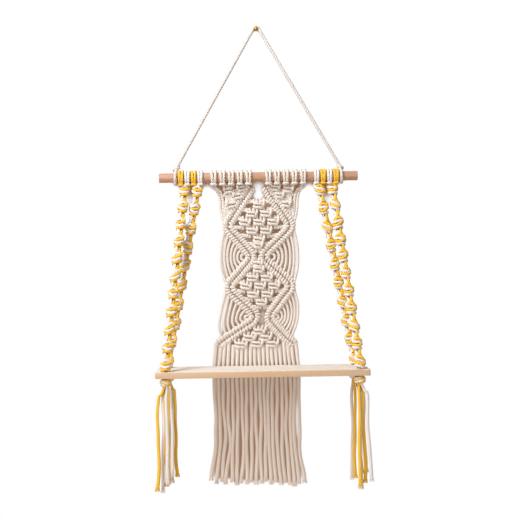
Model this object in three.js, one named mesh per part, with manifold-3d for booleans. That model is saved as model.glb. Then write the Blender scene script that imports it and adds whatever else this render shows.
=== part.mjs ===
// A hanging rope shelf: a pine board carried by four knotted cotton sennits below a dowel, with a
// knotted panel and fringe behind it, all hung from one nail by a rope tied to the dowel.
// Millimetres, +Z up, the wall is the plane Y = 0 and the front faces -Y. The origin is where the
// nail enters the wall.
import * as THREE from 'three';
import { mergeVertices } from 'three/addons/utils/BufferGeometryUtils.js';
import Module from 'manifold-3d';

const wasm = await Module();
wasm.setup();

// Driving dimensions
const cordDiameter = 5.5;
const fitGap = 0.3;
const wallGap = 0.8;

// Heights, from the nail down
const nailToDowel = 302;
const dowelToBoard = 380;

// Nail
const nailShankDiameter = 2.4;
const nailHeadDiameter = 9;
const nailHeadHeight = 3;
const nailStandOff = 8.6;
const nailInWall = 16;
const nailPointLength = 3;

// Dowel
const dowelLength = 400;
const dowelDiameter = 19;
const dowelChamfer = 0.8;

// Board
const boardLength = 410;
const boardDepth = 130;
const boardThickness = 12;
const boardCornerRadius = 3;
const boardEdgeChamfer = 0.8;
const holeDiameter = 15.2;
const holeFromEnd = 19;
const holeFromEdge = 16;

// Hanger rope
const hangerDiameter = 6.5;
const hangerFromDowelEnd = 32.5;
const hangerKnotInset = 2;
const hangerKnotDiameter = 13;
const hangerKnotHeight = 12;

// Sennits, and the places of their pairs of lark's heads on the dowel
const sennitFromHanger = 17.75;
const sennitPitch = 26;
const sennitHeadPitch = 13;
const headStrandPitch = 5.6;
const frontSennitKnots = 11;
const backSennitKnots = 10;
const knotHeight = 20;
const knotDiameter = 21;
const neckDiameter = 12.4;
const knotGrooveDepth = 1.6;
const firstKnotDrop = 27;
const lastKnotRise = 12.5;
const bundlePitch = 5.8;
const stopperDiameter = 22;
const stopperHeight = 17;

// Knotted panel: its lark's heads, on half widths from its centre line
const panelFromWall = 5.5;
const panelInnerHeadX = 20;
const panelPitchX = 17.5;
const panelHeads = 5;
const panelHeadWidth = 13;
const pairWidth = 9;

// The zigzag of two ridges side by side, with its corners as shares of its foot's half width and drop
const ridgeDiameter = 11.4;
const ridgePitch = 11.8;
const ridgeTurnRadius = 14;
const ridgeFootX = 74;
const ridgeFootRise = 42;
const ridgeCornerShares = [
  [0.2, 0.063],
  [0.9, 0.296],
  [0.1, 0.478],
  [0.9, 0.653],
  [0.12, 0.84],
  [1, 1],
];

// Cords that leave the outer ridge and enter it again, as shares of the foot's half width
const sideCordShares = [1.035, 0.935, 0.845, 0.745, 0.65, 0.555, 0.455];
const sideCordBulge = 8;
const bulgeShare = 0.35;

// Square knots
const squareKnotThickness = 12;
const squareKnotHeight = 22;
const squareKnotOverlap = 1.5;
const knotPitchX = 28.5;
const diamondRows = 3;
const upperKnotPitchZ = 17;
const upperDiamondRise = 8;
const waistKnotShare = 1.35;
const lowerKnotPitchZ = 16.4;
const cornerKnotWidth = 23;
const footRows = 3;
const footKnotPitchX = 31;
const footKnotPitchZ = 13;
const footKnotWidth = 32;
const outerRidgeFootX = 78;

// How far the first and the second waist were tied off the centre line, and where that no longer tells
const waistShifts = [-4, 7];
const waistShiftReach = 50;
const waistShiftHalfWidth = 76;

// Corner fields below the lark's heads, as shares of the outer head's half width and of the first
// tip's drop: the knots, where pairs of cords meet the ridge, and the two cords down the edge
const cornerKnotShares = [[0.68, 0.26], [0.38, 0.23], [0.47, 0.38], [0.62, 0.555]];
const knotOfHead = [1, 1, 0, 0];
const knotPairs = [[0, 2], [0, 3], [2, 3]];
const ridgeEndShares = [[0, [0.75, 0.9]], [3, [0.66, 0.77]]];
const edgeCordShares = [
  [[0.967, 0.19], [0.861, 0.28], [0.811, 0.42], [0.8, 0.62], [0.76, 0.9]],
  [[1.033, 0.19], [0.928, 0.28], [0.878, 0.42], [0.862, 0.62], [0.77, 1]],
];

// Free ends
const strandTaper = 1.5;
const fringeStrands = 20;
const fringeTopHalfWidth = 84;
const fringeNarrowShare = 0.93;
const fringeFlareShare = 1.17;
const fringeLength = 228;
const fringeLengthShares = [
  0.955, 0.985, 0.97, 0.99, 0.975, 1.0, 0.985, 0.995, 0.98, 1.0,
  0.99, 0.975, 1.0, 0.985, 1.005, 0.99, 1.01, 1.02, 1.0, 0.99,
];
const tasselGap = 0.7;
const tasselLength = 196;
const tasselSpread = 5.5;
const tasselLengthShares = [1.0, 0.94, 0.97, 1.03];

// Facets
const ropeSides = 8;
const bundleSides = 5;
const loopSides = 10;
const sideCordSteps = 4;
const nailTurnSteps = 4;
const ridgeTurnSteps = 4;
const knotSides = 6;
const knotRings = 4;
const roundSides = 24;
const holeSides = 12;
const weldDistance = 0.001;
const smallestEdge = 0.05;

// Sizes that follow from the ones above
const cordRadius = cordDiameter / 2;
const dowelRadius = dowelDiameter / 2;
const loopInnerRadius = (dowelRadius + fitGap) / Math.cos(Math.PI / loopSides);
const loopRadius = loopInnerRadius + cordRadius;
const hangerRadius = hangerDiameter / 2;
const dowelY = -(loopInnerRadius + hangerDiameter + wallGap);
const dowelZ = -nailToDowel;
const panelY = -(squareKnotThickness / 2 + panelFromWall);
const boardTopZ = dowelZ - dowelToBoard;
const boardBottomZ = boardTopZ - boardThickness;
const boardBackY = panelY - cordRadius - fitGap;
const boardCentreY = boardBackY - boardDepth / 2;
const frontHoleY = boardBackY - boardDepth + holeFromEdge;
const backHoleY = boardBackY - holeFromEdge;
const holeX = boardLength / 2 - holeFromEnd;
const hangerWrapX = dowelLength / 2 - hangerFromDowelEnd;
const hangerKnotX = hangerWrapX - hangerKnotInset;
const outerSennitX = hangerWrapX - sennitFromHanger;
const innerSennitX = outerSennitX - sennitPitch;
const panelOuterHeadX = panelInnerHeadX + (panelHeads - 1) * panelPitchX;
const squareKnotWidth = knotPitchX + squareKnotOverlap;
const footHalfWidth = ((footRows - 1) * footKnotPitchX + footKnotWidth + cordDiameter) / 2;
const ridgeFootDrop = dowelToBoard - ridgeFootRise;
const ridgeCorners = ridgeCornerShares.map(([x, drop]) => [x * ridgeFootX, drop * ridgeFootDrop]);
const [, [tipX, firstTipDrop], [, firstWaistDrop], [, secondTipDrop], [, secondWaistDrop]] = ridgeCorners;

// Colours and finishes
const looks = {
  brass: { color: 0x9a6f2c, roughness: 0.35, metalness: 1 },
  beech: { color: 0xd7aa91, roughness: 0.6, metalness: 0 },
  pine: { color: 0xeadcc4, roughness: 0.65, metalness: 0 },
  whiteCotton: { color: 0xebe4dc, roughness: 0.95, metalness: 0 },
  yellowCotton: { color: 0xf0b93a, roughness: 0.95, metalness: 0 },
};

function mesh(name, geometry, look) {
  const piece = new THREE.Mesh(geometry, new THREE.MeshStandardMaterial(looks[look]));
  piece.name = name;
  return piece;
}

// Welds a geometry's vertices and drops the triangles that collapse on an axis
function welded(geometry) {
  const bare = geometry.clone();
  bare.deleteAttribute('normal');
  bare.deleteAttribute('uv');
  const merged = mergeVertices(bare, weldDistance);
  const index = merged.index.array;
  const kept = [];
  for (let i = 0; i < index.length; i += 3) {
    const [a, b, c] = [index[i], index[i + 1], index[i + 2]];
    if (a !== b && b !== c && c !== a) kept.push(a, b, c);
  }
  merged.setIndex(kept);
  return merged;
}

function toSolid(geometry) {
  const merged = welded(geometry);
  return new wasm.Manifold(new wasm.Mesh({
    numProp: 3,
    vertProperties: new Float32Array(merged.attributes.position.array),
    triVerts: new Uint32Array(merged.index.array),
  }));
}

// Joins closed geometries into one body, less the ones that it is cut by, with no pocket sealed in it
function fused(geometries, cutters = []) {
  const whole = geometries.map(toSolid).reduce((sum, next) => sum.add(next));
  const left = cutters.map(toSolid).reduce((rest, next) => rest.subtract(next), whole);
  const [body] = left.decompose().sort((a, b) => b.volume() - a.volume());
  const result = body.simplify(smallestEdge).getMesh();
  const joined = new THREE.BufferGeometry();
  joined.setAttribute('position', new THREE.BufferAttribute(result.vertProperties, 3));
  joined.setIndex(new THREE.BufferAttribute(result.triVerts, 1));
  return joined;
}

function circleShape(radius, sides) {
  const points = [];
  for (let i = 0; i < sides; i += 1) {
    const angle = (i / sides) * 2 * Math.PI;
    points.push(new THREE.Vector2(radius * Math.cos(angle), radius * Math.sin(angle)));
  }
  return new THREE.Shape(points);
}

// A round cord or bar along a path
function swept(path, diameter, sides, steps) {
  return new THREE.ExtrudeGeometry(circleShape(diameter / 2, sides), {
    extrudePath: path,
    steps,
    bevelEnabled: false,
  });
}

// A cord along a smooth line through the points, or straight between two
function cord(points, diameter, sides, steps) {
  const path = points.length > 2
    ? new THREE.CatmullRomCurve3(points, false, 'centripetal')
    : new THREE.LineCurve3(points[0], points[1]);
  return swept(path, diameter, sides, steps);
}

// A path with one step from each of its points to the next
class PointPath extends THREE.Curve {
  constructor(points) {
    super();
    this.points = points;
  }

  getPointAt(share) {
    return this.points[Math.round(share * (this.points.length - 1))].clone();
  }

  getTangentAt(share) {
    const i = Math.round(share * (this.points.length - 1));
    const before = this.points[Math.max(i - 1, 0)];
    const after = this.points[Math.min(i + 1, this.points.length - 1)];
    const here = this.points[i];
    const into = here.clone().sub(before).normalize();
    const out = after.clone().sub(here).normalize();
    return into.add(out).normalize();
  }
}

// A body of revolution along a line from the origin, given as [radius, height] pairs
function turned(profile, sides) {
  const points = profile.map(([radius, height]) => new THREE.Vector2(radius, height));
  return new THREE.LatheGeometry(points, sides);
}

function placed(geometry, from, direction, spin = 0) {
  const turn = new THREE.Quaternion().setFromUnitVectors(
    new THREE.Vector3(0, 1, 0), direction.clone().normalize());
  const own = new THREE.Quaternion().setFromAxisAngle(new THREE.Vector3(0, 1, 0), spin);
  return geometry.clone().applyQuaternion(turn.multiply(own)).translate(from.x, from.y, from.z);
}

// Wall nail
function nailGeometry() {
  const shank = nailShankDiameter / 2;
  const head = nailHeadDiameter / 2;
  const front = -nailStandOff;
  return turned([
    [0, front - nailHeadHeight],
    [head * 0.5, front - nailHeadHeight * 0.86],
    [head * 0.86, front - nailHeadHeight * 0.45],
    [head, front],
    [shank, front],
    [shank, nailInWall - nailPointLength],
    [0, nailInWall],
  ], roundSides / 2);
}

// Dowel, along X
function dowelGeometry() {
  const half = dowelLength / 2;
  const rod = turned([
    [0, -half],
    [dowelRadius - dowelChamfer, -half],
    [dowelRadius, -half + dowelChamfer],
    [dowelRadius, half - dowelChamfer],
    [dowelRadius - dowelChamfer, half],
    [0, half],
  ], roundSides);
  return rod.rotateZ(-Math.PI / 2);
}

// Board, its underside on Z = 0
function boardGeometry() {
  const halfX = boardLength / 2;
  const halfY = boardDepth / 2;
  const r = boardCornerRadius;
  const outline = new THREE.Shape();
  outline.moveTo(-halfX + r, -halfY);
  outline.lineTo(halfX - r, -halfY);
  outline.absarc(halfX - r, -halfY + r, r, -Math.PI / 2, 0);
  outline.lineTo(halfX, halfY - r);
  outline.absarc(halfX - r, halfY - r, r, 0, Math.PI / 2);
  outline.lineTo(-halfX + r, halfY);
  outline.absarc(-halfX + r, halfY - r, r, Math.PI / 2, Math.PI);
  outline.lineTo(-halfX, -halfY + r);
  outline.absarc(-halfX + r, -halfY + r, r, Math.PI, 1.5 * Math.PI);
  for (const x of [-holeX, holeX]) {
    for (const y of [frontHoleY, backHoleY]) {
      const hole = new THREE.Path();
      hole.absarc(x, y - boardCentreY, holeDiameter / 2, 0, 2 * Math.PI, true);
      outline.holes.push(hole);
    }
  }
  return new THREE.ExtrudeGeometry(outline, {
    depth: boardThickness - 2 * boardEdgeChamfer,
    curveSegments: holeSides / 2,
    bevelThickness: boardEdgeChamfer,
    bevelSize: boardEdgeChamfer,
    bevelOffset: -boardEdgeChamfer,
    bevelSegments: 1,
  }).translate(0, 0, boardEdgeChamfer);
}

// One cord's loop round the dowel, widened along X to the two turns of a lark's head
function loopRound(x, width, diameter = cordDiameter) {
  const toFlat = (diameter / 2) * Math.cos(Math.PI / bundleSides);
  const ring = new THREE.TorusGeometry(loopInnerRadius + toFlat, diameter / 2, bundleSides, loopSides);
  return ring.rotateY(Math.PI / 2).scale(width / diameter, 1, 1).translate(x, 0, 0);
}

// A ribbed bead, the outer form of a knot of several turns
function ribbedKnot(diameter, height, grooveDepth) {
  const r = diameter / 2;
  const half = height / 2;
  const groove = r - grooveDepth;
  const ribShares = [0.62, 0.31];
  return turned([
    [0, -half],
    [r * 0.66, -half],
    [r * 0.97, -half * ribShares[0]],
    [groove, -half * ribShares[1]],
    [r, 0],
    [groove, half * ribShares[1]],
    [r * 0.97, half * ribShares[0]],
    [r * 0.66, half],
    [0, half],
  ], knotSides);
}

// Hanger rope, in the frame of the dowel's axis: straight legs, and a turn over the nail
function hangerGeometry() {
  const turnRadius = nailShankDiameter / 2 + hangerRadius + fitGap;
  const nailSeatY = -dowelY - nailStandOff + hangerRadius + fitGap;
  const knotZ = loopInnerRadius + hangerRadius + hangerKnotHeight / 2;
  const slope = hangerKnotX / (nailToDowel - knotZ);
  const first = Math.atan(slope);
  const route = [new THREE.Vector3(hangerKnotX, 0, knotZ)];
  for (let i = 0; i <= nailTurnSteps; i += 1) {
    const angle = first + ((Math.PI - 2 * first) * i) / nailTurnSteps;
    route.push(new THREE.Vector3(
      turnRadius * Math.cos(angle), nailSeatY, nailToDowel + turnRadius * Math.sin(angle)));
  }
  route.push(new THREE.Vector3(-hangerKnotX, 0, knotZ));
  const knot = turned([
    [0, -hangerKnotHeight / 2],
    [hangerKnotDiameter * 0.36, -hangerKnotHeight / 2],
    [hangerKnotDiameter / 2, 0],
    [hangerKnotDiameter * 0.36, hangerKnotHeight / 2],
    [0, hangerKnotHeight / 2],
  ], knotSides);
  const pieces = [swept(new PointPath(route), hangerDiameter, ropeSides, route.length - 1)];
  for (const side of [-1, 1]) {
    const lean = new THREE.Vector3(-side * slope, 0, 1);
    pieces.push(placed(knot, new THREE.Vector3(side * hangerKnotX, 0, knotZ), lean));
    pieces.push(loopRound(side * hangerWrapX, hangerDiameter, hangerDiameter));
  }
  return fused(pieces);
}

// The outer form of a sennit along its own line: ribbed knots, with the bare bundle between them
function knottedLine(length, knots) {
  const neck = neckDiameter / 2;
  const r = knotDiameter / 2;
  const groove = r - knotGrooveDepth;
  const pitch = length / (knots - 1);
  const ribShares = [-0.5, -0.28, 0, 0.28, 0.5];
  const radii = [neck, r, groove, r, neck];
  const profile = [[0, -knotHeight / 2]];
  for (let i = 0; i < knots; i += 1) {
    ribShares.forEach((share, k) => profile.push([radii[k], i * pitch + share * knotHeight]));
  }
  profile.push([0, length + knotHeight / 2]);
  return turned(profile, knotSides);
}

// A sennit from its two lark's heads, through its hole and to its stopper knot, in the dowel's frame
function sennitGeometry(side, headX, holeY, knots) {
  const top = new THREE.Vector3(side * headX, 0, -firstKnotDrop);
  const boardTop = -dowelToBoard;
  const bottom = new THREE.Vector3(side * holeX, holeY - dowelY, boardTop + lastKnotRise);
  const lean = bottom.clone().sub(top);
  const pieces = [placed(knottedLine(lean.length(), knots), top, lean)];
  const half = bundlePitch / 2;
  const throughZ = boardTop - boardThickness - stopperHeight / 2;
  for (const [u, v] of [[-half, -half], [half, -half], [half, half], [-half, half]]) {
    pieces.push(cord([
      new THREE.Vector3(bottom.x + u, bottom.y + v, bottom.z),
      new THREE.Vector3(bottom.x + u, bottom.y + v, throughZ),
    ], cordDiameter, bundleSides, 1));
  }
  for (const x of [headX - sennitHeadPitch / 2, headX + sennitHeadPitch / 2]) {
    pieces.push(loopRound(side * x, headStrandPitch + cordDiameter));
    const from = new THREE.Vector3(side * x, 0, -loopRadius);
    const to = new THREE.Vector3(side * (x + headX) / 2, 0, -firstKnotDrop);
    pieces.push(cord([from, to], pairWidth, bundleSides, 1));
  }
  const stopper = ribbedKnot(stopperDiameter, stopperHeight - fitGap, knotGrooveDepth);
  const stopperZ = boardTop - boardThickness - fitGap - (stopperHeight - fitGap) / 2;
  pieces.push(placed(stopper, new THREE.Vector3(bottom.x, bottom.y, stopperZ), new THREE.Vector3(0, 0, 1)));
  return fused(pieces);
}

// The zigzag at a distance outwards from its middle: straight legs with round turns
function zigzag(offset) {
  const corners = ridgeCorners.map(([x, drop]) => new THREE.Vector3(x, 0, -drop));
  const headings = corners.slice(1).map((corner, i) => corner.clone().sub(corners[i]).normalize());
  const outwards = (heading) => new THREE.Vector3(-heading.z, 0, heading.x).multiplyScalar(offset);
  const points = [corners[0].clone().add(outwards(headings[0]))];
  for (let i = 1; i < corners.length - 1; i += 1) {
    const [into, out] = [headings[i - 1], headings[i]];
    const half = into.angleTo(out) / 2;
    const cutBack = ridgeTurnRadius * Math.tan(half);
    const start = corners[i].clone().addScaledVector(into, -cutBack);
    const bow = Math.sign(into.z * out.x - into.x * out.z);
    const centre = start.clone().add(
      new THREE.Vector3(-into.z, 0, into.x).multiplyScalar(-bow * ridgeTurnRadius));
    for (let k = 0; k <= ridgeTurnSteps; k += 1) {
      const angle = (bow * 2 * half * k) / ridgeTurnSteps;
      const turn = start.clone().sub(centre).applyAxisAngle(new THREE.Vector3(0, 1, 0), angle);
      const reach = turn.clone().normalize().multiplyScalar(bow * offset);
      points.push(centre.clone().add(turn).add(reach));
    }
  }
  const last = corners[corners.length - 1];
  points.push(last.clone().add(outwards(headings[headings.length - 1])));
  return points;
}

function ridgeBar(points, side, diameter = ridgeDiameter) {
  return swept(new PointPath(mirrored(points, side)), diameter, ropeSides, points.length - 1);
}

// What is cut away beside a ridge, so that a piece seats on it
function ridgeClearance(offset, side) {
  return ridgeBar(zigzag(offset), side, ridgeDiameter + 2 * fitGap);
}

// The half width of a line at a drop below its top
function widthAt(points, drop) {
  const i = points.findIndex((p, k) => k > 0 && -p.z >= drop);
  const share = (drop + points[i - 1].z) / (points[i - 1].z - points[i].z);
  return points[i - 1].x + (points[i].x - points[i - 1].x) * share;
}

// How far the panel lies off the centre line at a half width and a drop
function swayAt(x, drop) {
  const across = Math.min(1, Math.abs(x) / waistShiftHalfWidth);
  return [firstWaistDrop, secondWaistDrop].reduce((sum, waist, i) => {
    const away = Math.min(1, Math.abs(drop - waist) / waistShiftReach);
    return sum + waistShifts[i] * (1 - away ** 2) ** 2 * (1 - across ** 2);
  }, 0);
}

function mirrored(points, side) {
  return points.map((p) => new THREE.Vector3(side * p.x + swayAt(p.x, -p.z), p.y, p.z));
}

function fringeTopX(i) {
  return -fringeTopHalfWidth + (2 * fringeTopHalfWidth * i) / (fringeStrands - 1);
}

// The half widths of the fringe's strands in a span
function strandsBetween(from, to) {
  const xs = [];
  for (let i = fringeStrands / 2; i < fringeStrands; i += 1) {
    if (fringeTopX(i) > from && fringeTopX(i) <= to) xs.push(fringeTopX(i));
  }
  return xs;
}

// A strand from where it leaves the knots down to the board's underside
function footStrand(x, fromDrop) {
  const foot = -(dowelToBoard + boardThickness);
  const leave = new THREE.Vector3(x * fringeNarrowShare, 0, -fromDrop);
  return cord([leave, new THREE.Vector3(x, 0, foot)], cordDiameter, ropeSides, 1);
}

// The point of a line's leg, between two of its drops, at a half width or as near as the leg comes
function onLeg(points, x, fromDrop, toDrop) {
  const ends = [fromDrop, toDrop].map((drop) => new THREE.Vector3(widthAt(points, drop), 0, -drop));
  const share = (x - ends[0].x) / (ends[1].x - ends[0].x);
  return ends[0].clone().lerp(ends[1], THREE.MathUtils.clamp(share, 0, 1));
}

// The outer ridge of one side, with the side cords that leave it and enter it again
function outerRidgeGeometry(side) {
  const line = zigzag(ridgePitch / 2);
  const pieces = [ridgeBar(line, side)];
  for (const [tip, waist, lower] of [
    [firstTipDrop, firstWaistDrop, secondTipDrop],
    [secondTipDrop, secondWaistDrop, ridgeFootDrop - ridgePitch],
  ]) {
    for (const share of sideCordShares) {
      const x = share * ridgeFootX;
      const start = onLeg(line, x - sideCordBulge, tip, waist);
      const end = onLeg(line, x - sideCordBulge, waist, lower);
      const bulge = (from) => new THREE.Vector3(x, 0, from.z * bulgeShare - waist * (1 - bulgeShare));
      pieces.push(cord(mirrored([start, bulge(start), bulge(end), end], side),
        cordDiameter, bundleSides, sideCordSteps));
    }
  }
  for (const x of strandsBetween(outerRidgeFootX, fringeTopHalfWidth)) {
    pieces.push(footStrand(side * x, ridgeFootDrop - ridgeDiameter / 2));
  }
  return fused(pieces);
}

// The inner ridge of one side, with the strands that leave its foot
function innerRidgeGeometry(side) {
  const line = zigzag(-ridgePitch / 2);
  const pieces = [ridgeBar(line, side)];
  for (const x of strandsBetween(footHalfWidth, outerRidgeFootX)) {
    const leave = Math.min(x * fringeNarrowShare, line[line.length - 1].x);
    pieces.push(footStrand(side * x, -onLeg(line, leave, secondWaistDrop, -line[line.length - 1].z).z));
  }
  return fused(pieces, [ridgeClearance(ridgePitch / 2, side)]);
}

function squareKnot(x, drop, width) {
  const knot = new THREE.SphereGeometry(1, knotSides, knotRings);
  return knot.rotateX(Math.PI / 2)
    .scale(width / 2, squareKnotThickness / 2, squareKnotHeight / 2)
    .translate(x + swayAt(x, drop), 0, -drop);
}

// A diamond of alternating square knots with one more next to the first waist, and the cords that
// run from its edge into the ridges
function knotDiamond(middleDrop, pitchZ, waistWay) {
  const line = zigzag(-ridgePitch / 2);
  const waistKnotDrop = middleDrop + waistWay * waistKnotShare * (diamondRows - 1) * pitchZ;
  const pieces = [squareKnot(0, waistKnotDrop, cornerKnotWidth)];
  for (let row = 1 - diamondRows; row < diamondRows; row += 1) {
    const count = diamondRows - Math.abs(row);
    const drop = middleDrop + row * pitchZ;
    for (let i = 0; i < count; i += 1) {
      pieces.push(squareKnot((i - (count - 1) / 2) * knotPitchX, drop, squareKnotWidth));
    }
    for (const turn of row === 0 ? [-1, 1] : [Math.sign(row)]) {
      const into = drop + (turn * pitchZ) / 2;
      for (const side of [-1, 1]) {
        pieces.push(cord(mirrored([
          new THREE.Vector3(((count - 1) * knotPitchX) / 2, 0, -drop),
          new THREE.Vector3(widthAt(line, into), 0, -into),
        ], side), pairWidth, bundleSides, 1));
      }
    }
  }
  return fused(pieces, [-1, 1].map((side) => ridgeClearance(-ridgePitch / 2, side)));
}

// The lark's heads of one side of the panel with the corner knots below them
function panelHeadsGeometry(side) {
  const axisShift = dowelY - panelY;
  const under = (x) => new THREE.Vector3(side * x, axisShift / 2, -loopRadius);
  const at = ([x, drop]) => new THREE.Vector3(side * x * panelOuterHeadX, 0, -drop * firstTipDrop);
  const knots = cornerKnotShares.map(at);
  const pair = (from, to) => cord([from, to], pairWidth, bundleSides, 1);
  const pieces = knots.map((knot) => squareKnot(knot.x, -knot.z, cornerKnotWidth));
  for (let i = 0; i < panelHeads; i += 1) {
    const x = panelInnerHeadX + i * panelPitchX;
    pieces.push(loopRound(side * x, panelHeadWidth).translate(0, axisShift, 0));
    if (i < knotOfHead.length) pieces.push(pair(under(x), knots[knotOfHead[i]]));
  }
  for (const [a, b] of knotPairs) pieces.push(pair(knots[a], knots[b]));
  for (const [a, end] of ridgeEndShares) pieces.push(pair(knots[a], at(end)));
  for (const line of edgeCordShares) {
    pieces.push(cord([under(line[0][0] * panelOuterHeadX), ...line.map(at)],
      cordDiameter, bundleSides, 2 * line.length));
  }
  const clearances = [ridgePitch / 2, -ridgePitch / 2].map((offset) => ridgeClearance(offset, side));
  return fused(pieces, clearances);
}

// The bottom field of square knots and the strands below it, down to the board's underside
function panelFootGeometry() {
  const pieces = [];
  for (let row = 0; row < footRows; row += 1) {
    const drop = ridgeFootDrop - (footRows - 1 - row) * footKnotPitchZ;
    for (let i = 0; i <= row; i += 1) {
      pieces.push(squareKnot((i - row / 2) * footKnotPitchX, drop, footKnotWidth));
    }
  }
  for (const x of strandsBetween(0, footHalfWidth)) {
    pieces.push(footStrand(x, ridgeFootDrop), footStrand(-x, ridgeFootDrop));
  }
  return fused(pieces, [-1, 1].map((side) => ridgeClearance(-ridgePitch / 2, side)));
}

// A free end that hangs from the origin, leaning sideways as it falls, with its top tapered so that
// it can swing below what it hangs from
function freeEnd(lean, length) {
  const strand = turned([
    [0, 0],
    [cordRadius, strandTaper],
    [cordRadius, length],
    [0, length],
  ], ropeSides);
  return placed(strand, new THREE.Vector3(), new THREE.Vector3(lean[0], lean[1], -length));
}

const rope = new THREE.Group();

rope.add(mesh('wall_nail', nailGeometry(), 'brass'));

const dowelFrame = new THREE.Group();
dowelFrame.position.set(0, dowelY, dowelZ);
dowelFrame.add(mesh('dowel', dowelGeometry(), 'beech'));
dowelFrame.add(mesh('hanger_rope', hangerGeometry(), 'whiteCotton'));
const sides = [['left', -1], ['right', 1]];
for (const [word, side] of sides) {
  const front = sennitGeometry(side, outerSennitX, frontHoleY, frontSennitKnots);
  const back = sennitGeometry(side, innerSennitX, backHoleY, backSennitKnots);
  dowelFrame.add(mesh(`${word}_front_sennit`, front, 'yellowCotton'));
  dowelFrame.add(mesh(`${word}_back_sennit`, back, 'yellowCotton'));
}
rope.add(dowelFrame);

const board = mesh('shelf_board', boardGeometry(), 'pine');
board.position.set(0, boardCentreY, boardBottomZ);
rope.add(board);

const panelFrame = new THREE.Group();
panelFrame.position.set(0, panelY, dowelZ);
for (const [word, side] of sides) {
  panelFrame.add(mesh(`panel_${word}_outer_ridge`, outerRidgeGeometry(side), 'whiteCotton'));
  panelFrame.add(mesh(`panel_${word}_inner_ridge`, innerRidgeGeometry(side), 'whiteCotton'));
}
for (const [word, side] of sides) {
  panelFrame.add(mesh(`panel_${word}_heads`, panelHeadsGeometry(side), 'whiteCotton'));
}
const upperDiamond = knotDiamond(firstTipDrop - upperDiamondRise, upperKnotPitchZ, 1);
const lowerDiamond = knotDiamond(secondTipDrop, lowerKnotPitchZ, -1);
panelFrame.add(mesh('panel_upper_diamond', upperDiamond, 'whiteCotton'));
panelFrame.add(mesh('panel_lower_diamond', lowerDiamond, 'whiteCotton'));
panelFrame.add(mesh('panel_foot', panelFootGeometry(), 'whiteCotton'));
rope.add(panelFrame);

// Fringe strands, from the board's underside down
const fringeFrame = new THREE.Group();
fringeFrame.position.set(0, panelY, boardBottomZ - fitGap);
for (let i = 0; i < fringeStrands; i += 1) {
  const x = fringeTopX(i);
  const strand = mesh(`fringe_strand_${String(i + 1).padStart(2, '0')}`,
    freeEnd([x * (fringeFlareShare - 1), 0], fringeLength * fringeLengthShares[i]), 'whiteCotton');
  strand.position.x = x;
  fringeFrame.add(strand);
}
rope.add(fringeFrame);

// Tassel strands, below each stopper knot
const strandWords = ['yellow_1', 'white_1', 'yellow_2', 'white_2'];
for (const [word, side] of sides) {
  for (const [row, holeY] of [['front', frontHoleY], ['back', backHoleY]]) {
    const tassel = new THREE.Group();
    tassel.position.set(side * holeX, holeY, boardBottomZ - stopperHeight - tasselGap);
    strandWords.forEach((strandWord, i) => {
      const half = bundlePitch / 2;
      const u = [-half, half, half, -half][i];
      const v = [-half, -half, half, half][i];
      const drift = [u / half * tasselSpread, v / half * tasselSpread];
      const look = strandWord.startsWith('yellow') ? 'yellowCotton' : 'whiteCotton';
      const strand = mesh(`${word}_${row}_tassel_${strandWord}`,
        freeEnd(drift, tasselLength * tasselLengthShares[i]), look);
      strand.position.set(u, v, 0);
      tassel.add(strand);
    });
    rope.add(tassel);
  }
}

export default rope;
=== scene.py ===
import math

import bmesh
import bpy
from mathutils import Matrix, Vector, noise


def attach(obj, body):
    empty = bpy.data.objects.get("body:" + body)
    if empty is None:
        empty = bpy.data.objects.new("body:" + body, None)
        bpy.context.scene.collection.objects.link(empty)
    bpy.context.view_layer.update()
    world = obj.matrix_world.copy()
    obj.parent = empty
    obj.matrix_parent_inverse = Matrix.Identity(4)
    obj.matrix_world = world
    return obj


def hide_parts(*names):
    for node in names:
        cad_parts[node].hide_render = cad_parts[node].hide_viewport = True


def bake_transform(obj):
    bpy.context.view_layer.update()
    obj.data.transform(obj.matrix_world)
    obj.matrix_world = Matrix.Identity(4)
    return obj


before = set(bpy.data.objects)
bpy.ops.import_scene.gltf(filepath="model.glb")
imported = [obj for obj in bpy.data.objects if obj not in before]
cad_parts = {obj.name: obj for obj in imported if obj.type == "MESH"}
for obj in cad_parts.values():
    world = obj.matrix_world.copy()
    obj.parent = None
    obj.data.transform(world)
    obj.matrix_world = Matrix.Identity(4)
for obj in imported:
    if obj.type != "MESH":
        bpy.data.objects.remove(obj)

bl_info = {
    "name": "Hanging rope shelf",
    "version": (1, 0, 0),
    "blender": (4, 5, 0),
    "location": "View3D > Sidebar > Rope Shelf",
    "description": "Cotton cords, sennits, knotted panel, wood and stage of a hanging rope shelf",
    "category": "Object",
}

MM = 0.001
QUARTER_TURN = math.pi / 2
WHITE = (1, 1, 1, 1)
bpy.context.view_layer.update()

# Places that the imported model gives, in metres
DOWEL_Y = -17.604 * MM
DOWEL_Z = -302 * MM
PANEL_Y = -11.5 * MM
BOARD_TOP = -682 * MM
BOARD_BOTTOM = -694 * MM
BOARD_BACK = -14.55 * MM
HOLE_X = 186 * MM
FRONT_HOLE_Y = -128.55 * MM
BACK_HOLE_Y = -30.55 * MM
FIT_GAP = 0.3 * MM
SIDES = (("left", -1), ("right", 1))

# How cords are drawn
CORD_STEP = 1.5 * MM
LAY_PITCH = 16 * MM
PLIES = 3
# Each ply's angles and reaches: a groove and two crests, clockwise so that faces point out
PLY_SHARES = ((0, 0.84), (40, 1.03), (80, 1.03))
WELD = 0.001 * MM
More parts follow.
